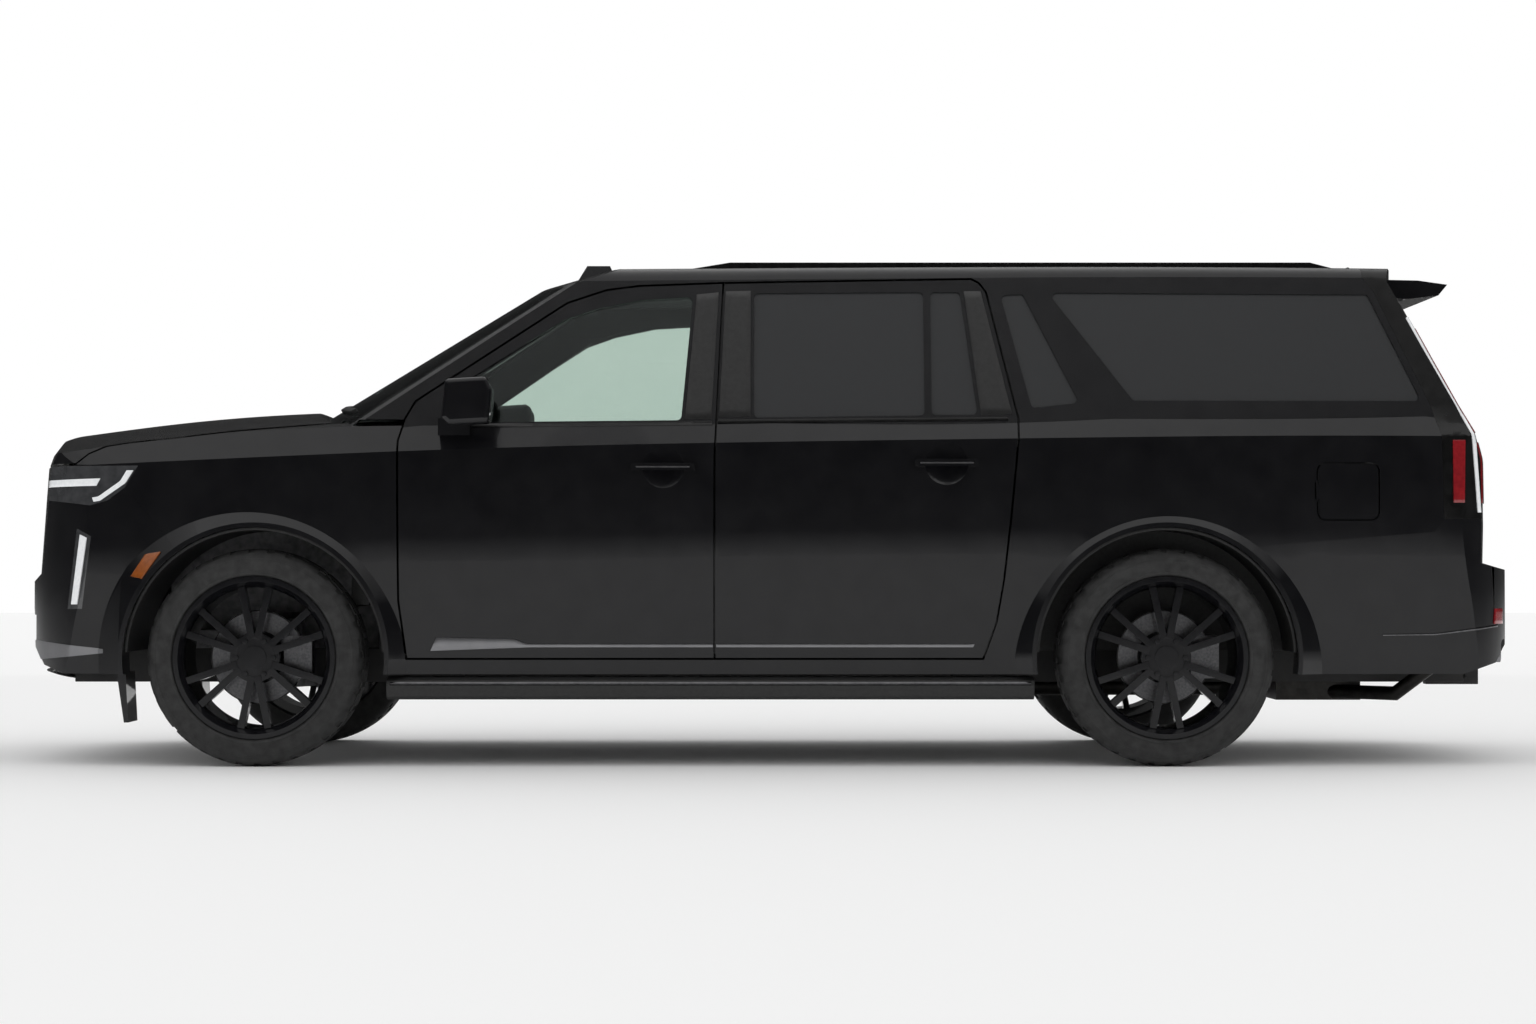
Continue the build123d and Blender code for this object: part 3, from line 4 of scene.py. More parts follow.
import bpy
from mathutils import Matrix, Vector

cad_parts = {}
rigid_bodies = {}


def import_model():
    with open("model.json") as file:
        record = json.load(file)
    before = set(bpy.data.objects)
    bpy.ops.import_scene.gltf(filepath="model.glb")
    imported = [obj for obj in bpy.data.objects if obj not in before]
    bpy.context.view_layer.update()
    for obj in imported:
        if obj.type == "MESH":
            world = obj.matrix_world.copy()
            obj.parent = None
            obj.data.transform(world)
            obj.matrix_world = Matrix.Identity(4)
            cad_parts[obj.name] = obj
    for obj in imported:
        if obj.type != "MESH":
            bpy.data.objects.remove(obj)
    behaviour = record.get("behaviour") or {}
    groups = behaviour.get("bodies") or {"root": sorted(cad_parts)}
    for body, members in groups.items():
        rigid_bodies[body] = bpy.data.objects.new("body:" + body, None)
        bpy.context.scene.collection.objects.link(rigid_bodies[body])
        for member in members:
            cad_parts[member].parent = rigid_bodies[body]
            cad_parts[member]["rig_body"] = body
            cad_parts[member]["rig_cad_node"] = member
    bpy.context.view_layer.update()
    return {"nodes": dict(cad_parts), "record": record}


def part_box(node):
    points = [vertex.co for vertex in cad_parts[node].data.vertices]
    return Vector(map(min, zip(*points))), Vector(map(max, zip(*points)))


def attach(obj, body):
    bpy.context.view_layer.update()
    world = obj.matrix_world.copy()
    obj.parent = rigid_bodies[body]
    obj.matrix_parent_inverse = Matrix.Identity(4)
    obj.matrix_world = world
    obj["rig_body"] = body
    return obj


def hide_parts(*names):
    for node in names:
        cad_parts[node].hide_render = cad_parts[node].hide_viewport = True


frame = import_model()
nodes = frame["nodes"]
bodies = frame["record"]["behaviour"]["bodies"]
node_body = {node: body for body, members in bodies.items() for node in members}
bpy.ops.object.select_all(action="DESELECT")
scene = bpy.context.scene

# Places taken from the frame
SIDES = {"left": -1, "right": 1}
AXLE_X = {end: sum(c.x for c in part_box(f"tyre_{end}_left")) / 2 for end in ("front", "rear")}
AXLE_Z = sum(c.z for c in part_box("tyre_front_left")) / 2


# Finishes
def finish(name, dark, light, rough, scale=60.0, rough_spread=0.08, bump=0.0, bump_scale=400.0, **sockets):
    material = bpy.data.materials.new(name)
    material.use_nodes = True
    tree = material.node_tree
    shader = tree.nodes["Principled BSDF"]
    for socket, value in sockets.items():
        shader.inputs[socket.replace("_", " ")].default_value = value
    place = tree.nodes.new("ShaderNodeTexCoord")
    cloud = tree.nodes.new("ShaderNodeTexNoise")
    cloud.inputs["Scale"].default_value = scale
    cloud.inputs["Detail"].default_value = 4.0
    ramp = tree.nodes.new("ShaderNodeValToRGB")
    ramp.color_ramp.elements[0].position = 0.3
    ramp.color_ramp.elements[1].position = 0.7
    ramp.color_ramp.elements[0].color = (*dark, 1)
    ramp.color_ramp.elements[1].color = (*light, 1)
    spread = tree.nodes.new("ShaderNodeMapRange")
    spread.inputs["To Min"].default_value = max(rough - rough_spread / 2, 0.01)
    spread.inputs["To Max"].default_value = rough + rough_spread / 2
    tree.links.new(place.outputs["Object"], cloud.inputs["Vector"])
    tree.links.new(cloud.outputs["Fac"], ramp.inputs["Fac"])
    tree.links.new(ramp.outputs["Color"], shader.inputs["Base Color"])
    tree.links.new(cloud.outputs["Fac"], spread.inputs["Value"])
    tree.links.new(spread.outputs["Result"], shader.inputs["Roughness"])
    if bump:
        grain = tree.nodes.new("ShaderNodeTexNoise")
        grain.inputs["Scale"].default_value = bump_scale
        grain.inputs["Detail"].default_value = 3.0
        relief = tree.nodes.new("ShaderNodeBump")
        relief.inputs["Strength"].default_value = bump
        relief.inputs["Distance"].default_value = 0.001
        tree.links.new(place.outputs["Object"], grain.inputs["Vector"])
        tree.links.new(grain.outputs["Fac"], relief.inputs["Height"])
        tree.links.new(relief.outputs["Normal"], shader.inputs["Normal"])
    return material


gloss_black = finish("gloss black paint", (0.003, 0.003, 0.004), (0.006, 0.006, 0.007), 0.30, 8.0, 0.04,
                     Specular_IOR_Level=0.12, Coat_Weight=1.0, Coat_Roughness=0.03, Coat_IOR=1.38)
trim_black = finish("gloss black trim", (0.004, 0.004, 0.004), (0.010, 0.010, 0.010), 0.14, 20.0, 0.05,
                    Specular_IOR_Level=0.35)
rim_black = finish("gloss black wheel paint", (0.003, 0.003, 0.004), (0.008, 0.008, 0.009), 0.24, 30.0, 0.08,
                   Specular_IOR_Level=0.10, Coat_Weight=1.0, Coat_Roughness=0.05, Coat_IOR=1.30)
moulded_plastic = finish("moulded black plastic", (0.012, 0.012, 0.012), (0.024, 0.024, 0.024), 0.55, 90.0,
                         0.15, 0.25, 900.0)
underbody_paint = finish("underbody paint", (0.012, 0.012, 0.013), (0.030, 0.029, 0.028), 0.6, 14.0, 0.25,
                         0.2, 220.0)
cast_metal = finish("cast metal", (0.16, 0.16, 0.165), (0.30, 0.30, 0.305), 0.48, 40.0, 0.2, 0.3, 500.0,
                    Metallic=1.0)
exhaust_steel = finish("exhaust steel", (0.030, 0.029, 0.028), (0.060, 0.058, 0.055), 0.42, 25.0, 0.2, 0.2,
                       400.0, Metallic=1.0)
brake_metal = finish("brushed brake metal", (0.10, 0.10, 0.105), (0.18, 0.18, 0.185), 0.36, 120.0, 0.15, 0.1,
                     700.0, Metallic=1.0)
satin_metal = finish("satin bright trim", (0.24, 0.24, 0.25), (0.29, 0.29, 0.30), 0.32, 12.0, 0.05,
                     Metallic=1.0)
dark_chrome = finish("dark bright trim", (0.10, 0.10, 0.105), (0.16, 0.16, 0.165), 0.16, 50.0, 0.06,
                     Metallic=1.0)
tyre_rubber = finish("tyre rubber", (0.012, 0.012, 0.012), (0.030, 0.030, 0.030), 0.72, 35.0, 0.2, 0.35,
                     600.0)
seal_rubber = finish("seal rubber", (0.008, 0.008, 0.008), (0.016, 0.016, 0.016), 0.6, 80.0, 0.15, 0.15,
                     800.0)
seat_leather = finish("seat leather", (0.018, 0.017, 0.016), (0.034, 0.032, 0.030), 0.42, 70.0, 0.12, 0.5,
                      1100.0)
cabin_plastic = finish("cabin plastic", (0.018, 0.018, 0.019), (0.032, 0.032, 0.033), 0.58, 80.0, 0.15, 0.35,
                       1000.0)
carpet = finish("carpet", (0.014, 0.014, 0.014), (0.030, 0.030, 0.030), 0.95, 500.0, 0.05, 0.8, 1600.0)


def window_glass(name, thick_tint, thin_tint, film=0.0):
    material = bpy.data.materials.new(name)
    material.use_nodes = True
    tree = material.node_tree
    tree.nodes.remove(tree.nodes["Principled BSDF"])
    place = tree.nodes.new("ShaderNodeTexCoord")
    cloud = tree.nodes.new("ShaderNodeTexNoise")
    cloud.inputs["Scale"].default_value = 2.5
    ramp = tree.nodes.new("ShaderNodeValToRGB")
    ramp.color_ramp.elements[0].color = (*thick_tint, 1)
    ramp.color_ramp.elements[1].color = (*thin_tint, 1)
    ripple = tree.nodes.new("ShaderNodeBump")
    ripple.inputs["Strength"].default_value = 0.02
    ripple.inputs["Distance"].default_value = 0.002
    through = tree.nodes.new("ShaderNodeBsdfTransparent")
    gloss = tree.nodes.new("ShaderNodeBsdfGlossy")
    gloss.inputs["Color"].default_value = (0.9, 0.92, 0.93, 1)
    gloss.inputs["Roughness"].default_value = 0.02
    angle = tree.nodes.new("ShaderNodeFresnel")
    angle.inputs["IOR"].default_value = 1.5
    mix = tree.nodes.new("ShaderNodeMixShader")
    haze = tree.nodes.new("ShaderNodeBsdfDiffuse")
    haze.inputs["Color"].default_value = (0.045, 0.046, 0.048, 1)
    body = tree.nodes.new("ShaderNodeMixShader")
    body.inputs["Fac"].default_value = film
    tree.links.new(place.outputs["Object"], cloud.inputs["Vector"])
    tree.links.new(cloud.outputs["Fac"], ramp.inputs["Fac"])
    tree.links.new(ramp.outputs["Color"], through.inputs["Color"])
    tree.links.new(cloud.outputs["Fac"], ripple.inputs["Height"])
    tree.links.new(ripple.outputs["Normal"], gloss.inputs["Normal"])
    tree.links.new(angle.outputs["Fac"], mix.inputs["Fac"])
    tree.links.new(through.outputs["BSDF"], body.inputs[1])
    tree.links.new(haze.outputs["BSDF"], body.inputs[2])
    tree.links.new(body.outputs["Shader"], mix.inputs[1])
    tree.links.new(gloss.outputs["BSDF"], mix.inputs[2])
    tree.links.new(mix.outputs["Shader"], tree.nodes["Material Output"].inputs["Surface"])
    return material


clear_glass = window_glass("clear glass", (0.80, 0.86, 0.83), (0.84, 0.89, 0.86))
dark_glass = window_glass("privacy glass", (0.10, 0.105, 0.11), (0.14, 0.145, 0.15), 0.55)
lamp_cover = finish("lamp cover", (0.030, 0.031, 0.033), (0.050, 0.051, 0.054), 0.06, 30.0, 0.04,
                    Coat_Weight=1.0)
lamp_white = finish("white lamp lens", (0.80, 0.82, 0.84), (0.90, 0.91, 0.92), 0.18, 90.0, 0.1, 0.3, 300.0,
                    Coat_Weight=1.0)
lamp_red = finish("red lamp lens", (0.17, 0.006, 0.010), (0.26, 0.010, 0.014), 0.10, 60.0, 0.06, 0.3, 260.0,
                  Coat_Weight=1.0)
lamp_amber = finish("amber lens", (0.20, 0.050, 0.006), (0.28, 0.075, 0.010), 0.12, 60.0, 0.06, 0.3, 260.0,
                    Coat_Weight=1.0)
satin_cover = finish("satin black cover", (0.012, 0.012, 0.012), (0.020, 0.020, 0.020), 0.30, 60.0, 0.08,
                     Coat_Weight=0.3, Coat_Roughness=0.1)
plate_white = finish("blank plate", (0.62, 0.62, 0.61), (0.70, 0.70, 0.69), 0.4, 60.0, 0.1, 0.1, 500.0)
mirror_face = finish("mirror glass", (0.70, 0.71, 0.72), (0.76, 0.77, 0.78), 0.03, 4.0, 0.01, Metallic=1.0)


# Ways of working
WELD = 0.00002
EDGE_ROUND = 0.0025
EDGE_ANGLE = 35.0


def only(obj):
    bpy.ops.object.select_all(action="DESELECT")
    obj.select_set(True)
    bpy.context.view_layer.objects.active = obj


def in_edit(obj, *steps):
    only(obj)
    bpy.ops.object.mode_set(mode="EDIT")
    bpy.ops.mesh.select_all(action="SELECT")
    for step in steps:
        step()
    bpy.ops.object.mode_set(mode="OBJECT")


def weld():
    bpy.ops.mesh.remove_doubles(threshold=WELD)


def outward():
    bpy.ops.mesh.normals_make_consistent(inside=False)


def modify(obj, kind, **settings):
    only(obj)
    modifier = obj.modifiers.new(kind.lower(), kind)
    for key, value in settings.items():
        setattr(modifier, key, value)
    bpy.ops.object.modifier_apply(modifier=modifier.name)


def smooth(obj, angle):
    only(obj)
    bpy.ops.object.shade_smooth_by_angle(angle=math.radians(angle))


def paint(obj, material):
    obj.data.materials.clear()
    obj.data.materials.append(material)


def settle(obj, body):
    only(obj)
    bpy.ops.object.transform_apply(location=True, rotation=True, scale=True)
    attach(obj, body)


def corners(mesh):
    for face in mesh.polygons:
        for loop in face.loop_indices:
            place = mesh.vertices[mesh.loops[loop].vertex_index].co
            yield face, loop, tuple(round(value, 5) for value in (*face.center, *place))


def dress(node, material):
    source = nodes[node]
    obj = source.copy()
    obj.data = source.data.copy()
    obj.name = f"{node}_skin"
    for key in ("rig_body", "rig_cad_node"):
        del obj[key]
    obj.parent = None
    scene.collection.objects.link(obj)
    normals = source.data.corner_normals
    true_normals = {key: normals[loop].vector.copy() for _, loop, key in corners(source.data)}
    in_edit(obj, weld)
    # Paint keeps the solid's own normals for even reflections, other finishes get soft edges
    if material is gloss_black:
        kept_normals = [true_normals.get(key, face.normal) for face, _, key in corners(obj.data)]
        obj.data.normals_split_custom_set(kept_normals)
    else:
        modify(obj, "BEVEL", width=EDGE_ROUND, segments=2, limit_method="ANGLE",
               angle_limit=math.radians(EDGE_ANGLE), use_clamp_overlap=True, loop_slide=False)
        smooth(obj, EDGE_ANGLE)
        modify(obj, "WEIGHTED_NORMAL", weight=80, keep_sharp=True)
    paint(obj, material)
    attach(obj, node_body[node])
    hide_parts(node)


FINISHES = {
    "body_side_left": gloss_black, "body_side_right": gloss_black, "fender_left": gloss_black,
    "fender_right": gloss_black, "hood": gloss_black, "roof": gloss_black, "roof_rails": trim_black,
    "front_bumper": gloss_black, "grille": trim_black, "front_lamps": lamp_cover, "rear_bumper": gloss_black,
    "tail_lamps": trim_black, "tailgate": gloss_black, "tailgate_glass": dark_glass,
    "windscreen": clear_glass, "quarter_glass": dark_glass, "fuel_lid": gloss_black,
    "ladder_frame": underbody_paint, "floor_pan": underbody_paint, "engine": cast_metal,
    "exhaust": exhaust_steel, "front_suspension": cast_metal,
    "knuckle_left": brake_metal, "knuckle_right": brake_metal, "rear_axle": brake_metal,
    "wheel_liners": moulded_plastic, "running_boards": moulded_plastic, "mirror_left": gloss_black,
    "mirror_right": gloss_black, "dashboard": cabin_plastic, "steering_wheel": seat_leather,
    "seats": seat_leather,
}
for side in SIDES:
    FINISHES[f"front_door_{side}"] = gloss_black
    FINISHES[f"rear_door_{side}"] = gloss_black
    FINISHES[f"front_glass_{side}"] = clear_glass
    FINISHES[f"rear_glass_{side}"] = dark_glass
    for end in AXLE_X:
        FINISHES[f"rim_{end}_{side}"] = rim_black
for node, material in FINISHES.items():
    dress(node, material)


# Thin pieces laid on a solid, from its side or along the car
def along(line, share):
    lengths = [math.dist(a, b) for a, b in zip(line, line[1:])]
    left = share * sum(lengths)
    for (a, b), length in zip(zip(line, line[1:]), lengths):
        if left <= length or b is line[-1]:
            part = min(left / length, 1.0)
            return [p + (q - p) * part for p, q in zip(a, b)]
        left -= length
    return list(line[-1])


def laid_on(name, low, high, target, material, thick, lift, columns, rows=2, axis="y", reach=-1.5,
            inside=False):
    bpy.ops.mesh.primitive_grid_add(x_subdivisions=columns, y_subdivisions=rows, size=1)
    obj = bpy.context.object
    obj.name = name
    for vertex in obj.data.vertices:
        a, b = along(low, vertex.co.x + 0.5), along(high, vertex.co.x + 0.5)
        across, z = [p + (q - p) * (vertex.co.y + 0.5) for p, q in zip(a, b)]
        vertex.co = (across, reach, z) if axis == "y" else (reach, across, z)
    toward = (reach < 0) != inside
    modify(obj, "SHRINKWRAP", target=nodes[target], wrap_method="PROJECT", use_project_y=axis == "y",
           use_project_x=axis == "x", use_positive_direction=toward, use_negative_direction=not toward)
    modify(obj, "SOLIDIFY", thickness=thick, offset=0.0)
    step = -lift if toward else lift
    obj.data.transform(Matrix.Translation((0, step, 0) if axis == "y" else (step, 0, 0)))
    in_edit(obj, outward)
    modify(obj, "BEVEL", width=thick * 0.2, segments=2, limit_method="ANGLE", angle_limit=math.radians(50))
    smooth(obj, 40)
    paint(obj, material)
    return obj


def copied(obj, name, matrix):
    twin = obj.copy()
    twin.data = obj.data.copy()
    twin.name = name
    scene.collection.objects.link(twin)
    twin.data.transform(matrix)
    if matrix.determinant() < 0:
        in_edit(twin, outward)
    return twin


ACROSS = Matrix.Diagonal((1, -1, 1, 1))


def both_sides(obj, body):
    right = copied(obj, obj.name.replace("left", "right"), ACROSS)
    settle(obj, body)
    settle(right, body.replace("left", "right"))


# Bright strip low on the doors, with its broad front blade
STRIP_Z = (0.4455, 0.4585)
both_sides(laid_on("front_strip_left", [(-1.262, 0.432), (-0.930, 0.444), (-0.890, STRIP_Z[0]),
                                        (-0.206, STRIP_Z[0])],
                   [(-1.240, 0.483), (-0.950, 0.478), (-0.905, STRIP_Z[1]), (-0.206, STRIP_Z[1])],
                   "front_door_left", satin_metal, 0.006, 0.002, 60), "front_door_left")
both_sides(laid_on("rear_strip_left", [(-0.194, STRIP_Z[0]), (0.766, STRIP_Z[0])],
                   [(-0.194, STRIP_Z[1]), (0.773, STRIP_Z[1])], "rear_door_left", satin_metal, 0.006,
                   0.002, 40), "rear_door_left")

# Mouldings under the windows and covers on the door pillars
both_sides(laid_on("front_belt_left", [(-1.205, 1.268), (-0.208, 1.277)], [(-1.205, 1.281), (-0.208, 1.290)],
                   "front_door_left", trim_black, 0.008, 0.002, 40), "front_door_left")
both_sides(laid_on("rear_belt_left", [(-0.188, 1.284), (0.900, 1.294)], [(-0.188, 1.297), (0.900, 1.307)],
                   "rear_door_left", trim_black, 0.008, 0.002, 40), "rear_door_left")
both_sides(laid_on("front_pillar_left", [(-0.311, 1.300), (-0.213, 1.300)],
                   [(-0.269, 1.778), (-0.187, 1.786)], "front_door_left",
                   satin_cover, 0.004, 0.0005, 4, 16), "front_door_left")
both_sides(laid_on("rear_pillar_left", [(-0.183, 1.308), (-0.066, 1.310)], [(-0.160, 1.790), (-0.066, 1.792)],
                   "rear_door_left", satin_cover, 0.004, 0.0005, 4, 16), "rear_door_left")
both_sides(laid_on("back_pillar_left", [(0.800, 1.316), (0.915, 1.318)], [(0.742, 1.790), (0.805, 1.790)],
                   "rear_door_left", satin_cover, 0.004, 0.0005, 4, 16), "rear_door_left")

# Painted highlight: a bright strip in each gloss black door handle stands in for its highlight; a bright trim
# line low on the rear bumper
HANDLE_HALF = 0.100
HANDLE_HIGHLIGHT_HIGH = 0.006
for door, middle, height in (("front", -0.392, 1.117), ("rear", 0.667, 1.132)):
    ends = (middle - HANDLE_HALF, middle + HANDLE_HALF)
    # painted highlight: a dark chrome strip along the gloss black handle
    line = laid_on(f"{door}_handle_line_left", [(x, height) for x in ends],
                   [(x, height + HANDLE_HIGHLIGHT_HIGH) for x in ends], f"{door}_door_left", dark_chrome, 0.004,
                   0.001, 16)
    both_sides(line, f"{door}_door_left")
both_sides(laid_on("bumper_line_left", [(2.300, 0.488), (2.500, 0.490), (2.755, 0.520)],
                   [(2.300, 0.494), (2.500, 0.497), (2.755, 0.530)], "rear_bumper", dark_chrome, 0.005,
                   0.001, 40), "chassis")

# Lamps
BEHIND_X = 3.2
both_sides(laid_on("side_marker_left", [(-2.380, 0.710), (-2.335, 0.701)], [(-2.326, 0.793), (-2.265, 0.802)],
                   "front_bumper", lamp_amber, 0.008, 0.002, 6, 10), "chassis")
both_sides(laid_on("day_lens_left", [(-2.619, 0.605), (-2.594, 0.605)], [(-2.583, 0.868), (-2.556, 0.855)],
                   "front_lamps", lamp_white, 0.006, 0.003, 4, 16), "chassis")
both_sides(laid_on("lamp_bar_left", [(-2.735, 1.046), (-2.520, 1.050)], [(-2.735, 1.072), (-2.505, 1.078)],
                   "front_lamps", lamp_white, 0.006, 0.002, 20), "chassis")
both_sides(laid_on("lamp_fin_left", [(-2.530, 0.990), (-2.505, 0.994), (-2.408, 1.060), (-2.378, 1.108)],
                   [(-2.536, 1.006), (-2.512, 1.010), (-2.428, 1.068), (-2.404, 1.108)],
                   "front_lamps", lamp_white, 0.006, 0.002, 24), "chassis")
both_sides(laid_on("tail_lens_left", [(2.565, 0.986), (2.607, 0.986)], [(2.565, 1.222), (2.613, 1.222)],
                   "tail_lamps", lamp_red, 0.010, 0.003, 6, 16), "chassis")
both_sides(laid_on("tail_strip_left", [(2.664, 0.950), (2.640, 1.240), (2.592, 1.352), (2.416, 1.690)],
                   [(2.678, 0.950), (2.654, 1.246), (2.606, 1.356), (2.429, 1.694)],
                   "tail_lamps", lamp_white, 0.006, 0.002, 40), "chassis")
both_sides(laid_on("rear_lens_left", [(-0.905, 0.985), (-0.815, 0.985)], [(-0.905, 1.215), (-0.848, 1.215)],
                   "tail_lamps", lamp_red, 0.008, 0.002, 8, 12, "x", BEHIND_X), "chassis")
both_sides(laid_on("rear_line_left", [(-0.862, 1.250), (-0.832, 1.350), (-0.806, 1.500), (-0.774, 1.650)],
                   [(-0.892, 1.250), (-0.866, 1.350), (-0.832, 1.500), (-0.797, 1.650)], "tail_lamps",
                   lamp_red, 0.008, 0.002, 32, 2, "x", BEHIND_X), "chassis")
both_sides(laid_on("reflector_left", [(2.735, 0.531), (2.780, 0.531)], [(2.740, 0.589), (2.780, 0.589)],
                   "rear_bumper", lamp_red, 0.008, 0.002, 6, 4), "chassis")


# Tyres with grooves, sidewall ribs and shoulder blocks, turned once and copied
TREAD = [(281, 745.5), (297, 744), (306, 730), (330, 728), (345, 727.5), (366, 730), (380, 735),
         (391, 746), (400, 760), (404, 776), (406, 792), (406.5, 826), (399, 827), (399, 836),
         (406.8, 837), (406.9, 865), (399, 866), (399, 874), (406.9, 875), (406.8, 903), (399, 904),
         (399, 913), (406.5, 914), (406, 948), (404, 964), (400, 980), (391, 994), (380, 1005),
         (372, 1008.5), (371, 1010), (366, 1011), (365, 1010), (345, 1012.2), (322, 1011), (320, 1012.2),
         (314, 1011.5), (310, 1009), (304, 996.5), (281, 994.5)]
TREAD_STEPS = 108
SHOULDER_R = 0.394
SHOULDER_ROWS = (0.791, 0.949)
SHOULDER_EVERY = 3
BLOCK_R = 0.4055
BLOCK_ROWS = (0.79, 0.95)
BLOCK_EVERY = 4
BLOCK_SLANT = 10
GROOVE = 0.005
bpy.ops.mesh.primitive_circle_add(vertices=len(TREAD), radius=0.1)
tyre = bpy.context.object
tyre.name = "tyre_front_left_tread"
for vertex, (radius, y) in zip(tyre.data.vertices, TREAD):
    vertex.co = (AXLE_X["front"] + radius / 1000, -y / 1000, AXLE_Z)
in_edit(tyre,
        lambda: bpy.ops.mesh.spin(steps=TREAD_STEPS, angle=2 * math.pi, center=(AXLE_X["front"], 0, AXLE_Z),
                                  axis=(0, 1, 0)), weld, outward)
for face in tyre.data.polygons:
    turn = math.atan2(face.center.z - AXLE_Z, face.center.x - AXLE_X["front"]) / (2 * math.pi) * TREAD_STEPS
    radius = math.hypot(face.center.z - AXLE_Z, face.center.x - AXLE_X["front"])
    row = -face.center.y
    shoulder = radius > SHOULDER_R and (row > SHOULDER_ROWS[1] or row < SHOULDER_ROWS[0])
    block = radius > BLOCK_R and BLOCK_ROWS[0] < row < BLOCK_ROWS[1]
    shoulder_turn = round(turn) % SHOULDER_EVERY
    block_turn = round(turn + BLOCK_SLANT * row) % BLOCK_EVERY
    face.select = (shoulder and shoulder_turn == 0) or (block and block_turn == 0)
for item in (*tyre.data.vertices, *tyre.data.edges):
    item.select = False
only(tyre)
bpy.ops.object.mode_set(mode="EDIT")
bpy.ops.mesh.select_mode(type="FACE")
bpy.ops.mesh.extrude_region_shrink_fatten(TRANSFORM_OT_shrink_fatten={"value": -GROOVE})
bpy.ops.object.mode_set(mode="OBJECT")
smooth(tyre, 32)
paint(tyre, tyre_rubber)

# Brake disc faces behind the spokes
DISC_R = 0.172
DISC_HOLE = 0.58
DISC_THICK = 0.0025
DISC_PLACE = (AXLE_X["front"], -0.8895, AXLE_Z)
bpy.ops.mesh.primitive_circle_add(vertices=96, radius=DISC_R, fill_type="NOTHING",
                                  rotation=(math.pi / 2, 0, 0), location=DISC_PLACE)
disc = bpy.context.object
disc.name = "brake_disc_front_left"
only(disc)
bpy.ops.object.transform_apply(location=True, rotation=True, scale=True)
in_edit(disc, lambda: bpy.ops.mesh.extrude_edges_move(),
        lambda: bpy.ops.transform.resize(value=(DISC_HOLE, DISC_HOLE, DISC_HOLE), center_override=DISC_PLACE))
modify(disc, "SOLIDIFY", thickness=DISC_THICK, offset=0.0)
in_edit(disc, outward)
smooth(disc, 40)
paint(disc, brake_metal)

for end in ("front", "rear"):
    for side, sign in SIDES.items():
        shift = Matrix.Translation((AXLE_X[end] - AXLE_X["front"], 0, 0))
        move = shift if sign < 0 else shift @ ACROSS
        tread_copy = copied(tyre, f"tyre_{end}_{side}_turned", move)
        settle(tread_copy, f"wheel_{end}_{side}")
        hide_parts(f"tyre_{end}_{side}")
        settle(copied(disc, f"brake_disc_{end}_{side}_face", move), f"wheel_{end}_{side}")
for pattern in (tyre, disc):
    bpy.data.objects.remove(pattern)


# Blank plate in the tailgate's recess
PLATE_PLACE = (2.7862, 0, 1.0)
PLATE_SIZE = (0.003, 0.305, 0.152)
bpy.ops.mesh.primitive_cube_add(size=1, location=PLATE_PLACE)
plate = bpy.context.object
plate.name = "blank_plate"
plate.scale = PLATE_SIZE
only(plate)
bpy.ops.object.transform_apply(location=False, rotation=False, scale=True)
modify(plate, "BEVEL", width=0.001, segments=2)
smooth(plate, 40)
paint(plate, plate_white)
settle(plate, "tailgate")

# Mirror glass
both_sides(laid_on("mirror_glass_left", [(-1.150, 1.305), (-1.035, 1.305)],
                   [(-1.150, 1.420), (-1.035, 1.420)], "mirror_left", mirror_face, 0.003, 0.0005, 8, 8, "x",
                   0.5), "front_door_left")

# Bright line on the running boards
both_sides(laid_on("board_line_left", [(-1.410, 0.306), (0.982, 0.306)], [(-1.410, 0.316), (0.982, 0.316)],
                   "running_boards", dark_chrome, 0.006, 0.002, 60), "chassis")


# Thin bands cut from a solid's own skin
def skin_band(name, node, cuts, wanted, material, thick):
    source = nodes[node]
    obj = bpy.data.objects.new(name, source.data.copy())
    scene.collection.objects.link(obj)
    in_edit(obj, weld)
    for point, normal in cuts:
        in_edit(obj, lambda: bpy.ops.mesh.bisect(plane_co=point, plane_no=normal, clear_outer=True))
    for face in obj.data.polygons:
        face.select = not wanted(face)
    for item in (*obj.data.vertices, *obj.data.edges):
        item.select = False
    only(obj)
    bpy.ops.object.mode_set(mode="EDIT")
    bpy.ops.mesh.select_mode(type="FACE")
    bpy.ops.mesh.delete(type="FACE")
    bpy.ops.object.mode_set(mode="OBJECT")
    modify(obj, "SOLIDIFY", thickness=thick, offset=1.0)
    smooth(obj, 35)
    modify(obj, "WEIGHTED_NORMAL", weight=80, keep_sharp=True)
    paint(obj, material)
    return obj


# Satin lip along the foot of the front bumper
LIP_FRONT_X = -2.858
LIP_REAR_X = -2.49
LIP_Z = (0.386, 0.475)
LIP_TAPER = 0.10
LIP_FACING_FRONT = 0.35
LIP_FACING_SIDE = 0.3
INTAKE_BACK_X = -2.795
INTAKE_HALF = 0.64


def on_lip(face):
    faces_out = face.normal.x < -LIP_FACING_FRONT or face.normal.y * face.center.y > LIP_FACING_SIDE
    past_intake = face.center.x < INTAKE_BACK_X or abs(face.center.y) > INTAKE_HALF
    return face.center.x < LIP_REAR_X and faces_out and past_intake


lip_cuts = [((LIP_FRONT_X, 0, LIP_Z[1]), (LIP_TAPER, 0, 1.0)),
            ((LIP_FRONT_X, 0, LIP_Z[0]), (LIP_TAPER, 0, -1.0)), ((LIP_REAR_X, 0, 0), (1, 0, 0))]
lip = skin_band("bumper_lip", "front_bumper", lip_cuts, on_lip, satin_metal, 0.002)
settle(lip, "chassis")

# Bright ends of the tail pipes
PIPE_END_X = 2.700
tips = skin_band("tail_pipe_ends", "exhaust", [((PIPE_END_X, 0, 0), (-1, 0, 0))],
                 lambda face: face.center.x > PIPE_END_X, satin_metal, 0.002)
settle(tips, "chassis")

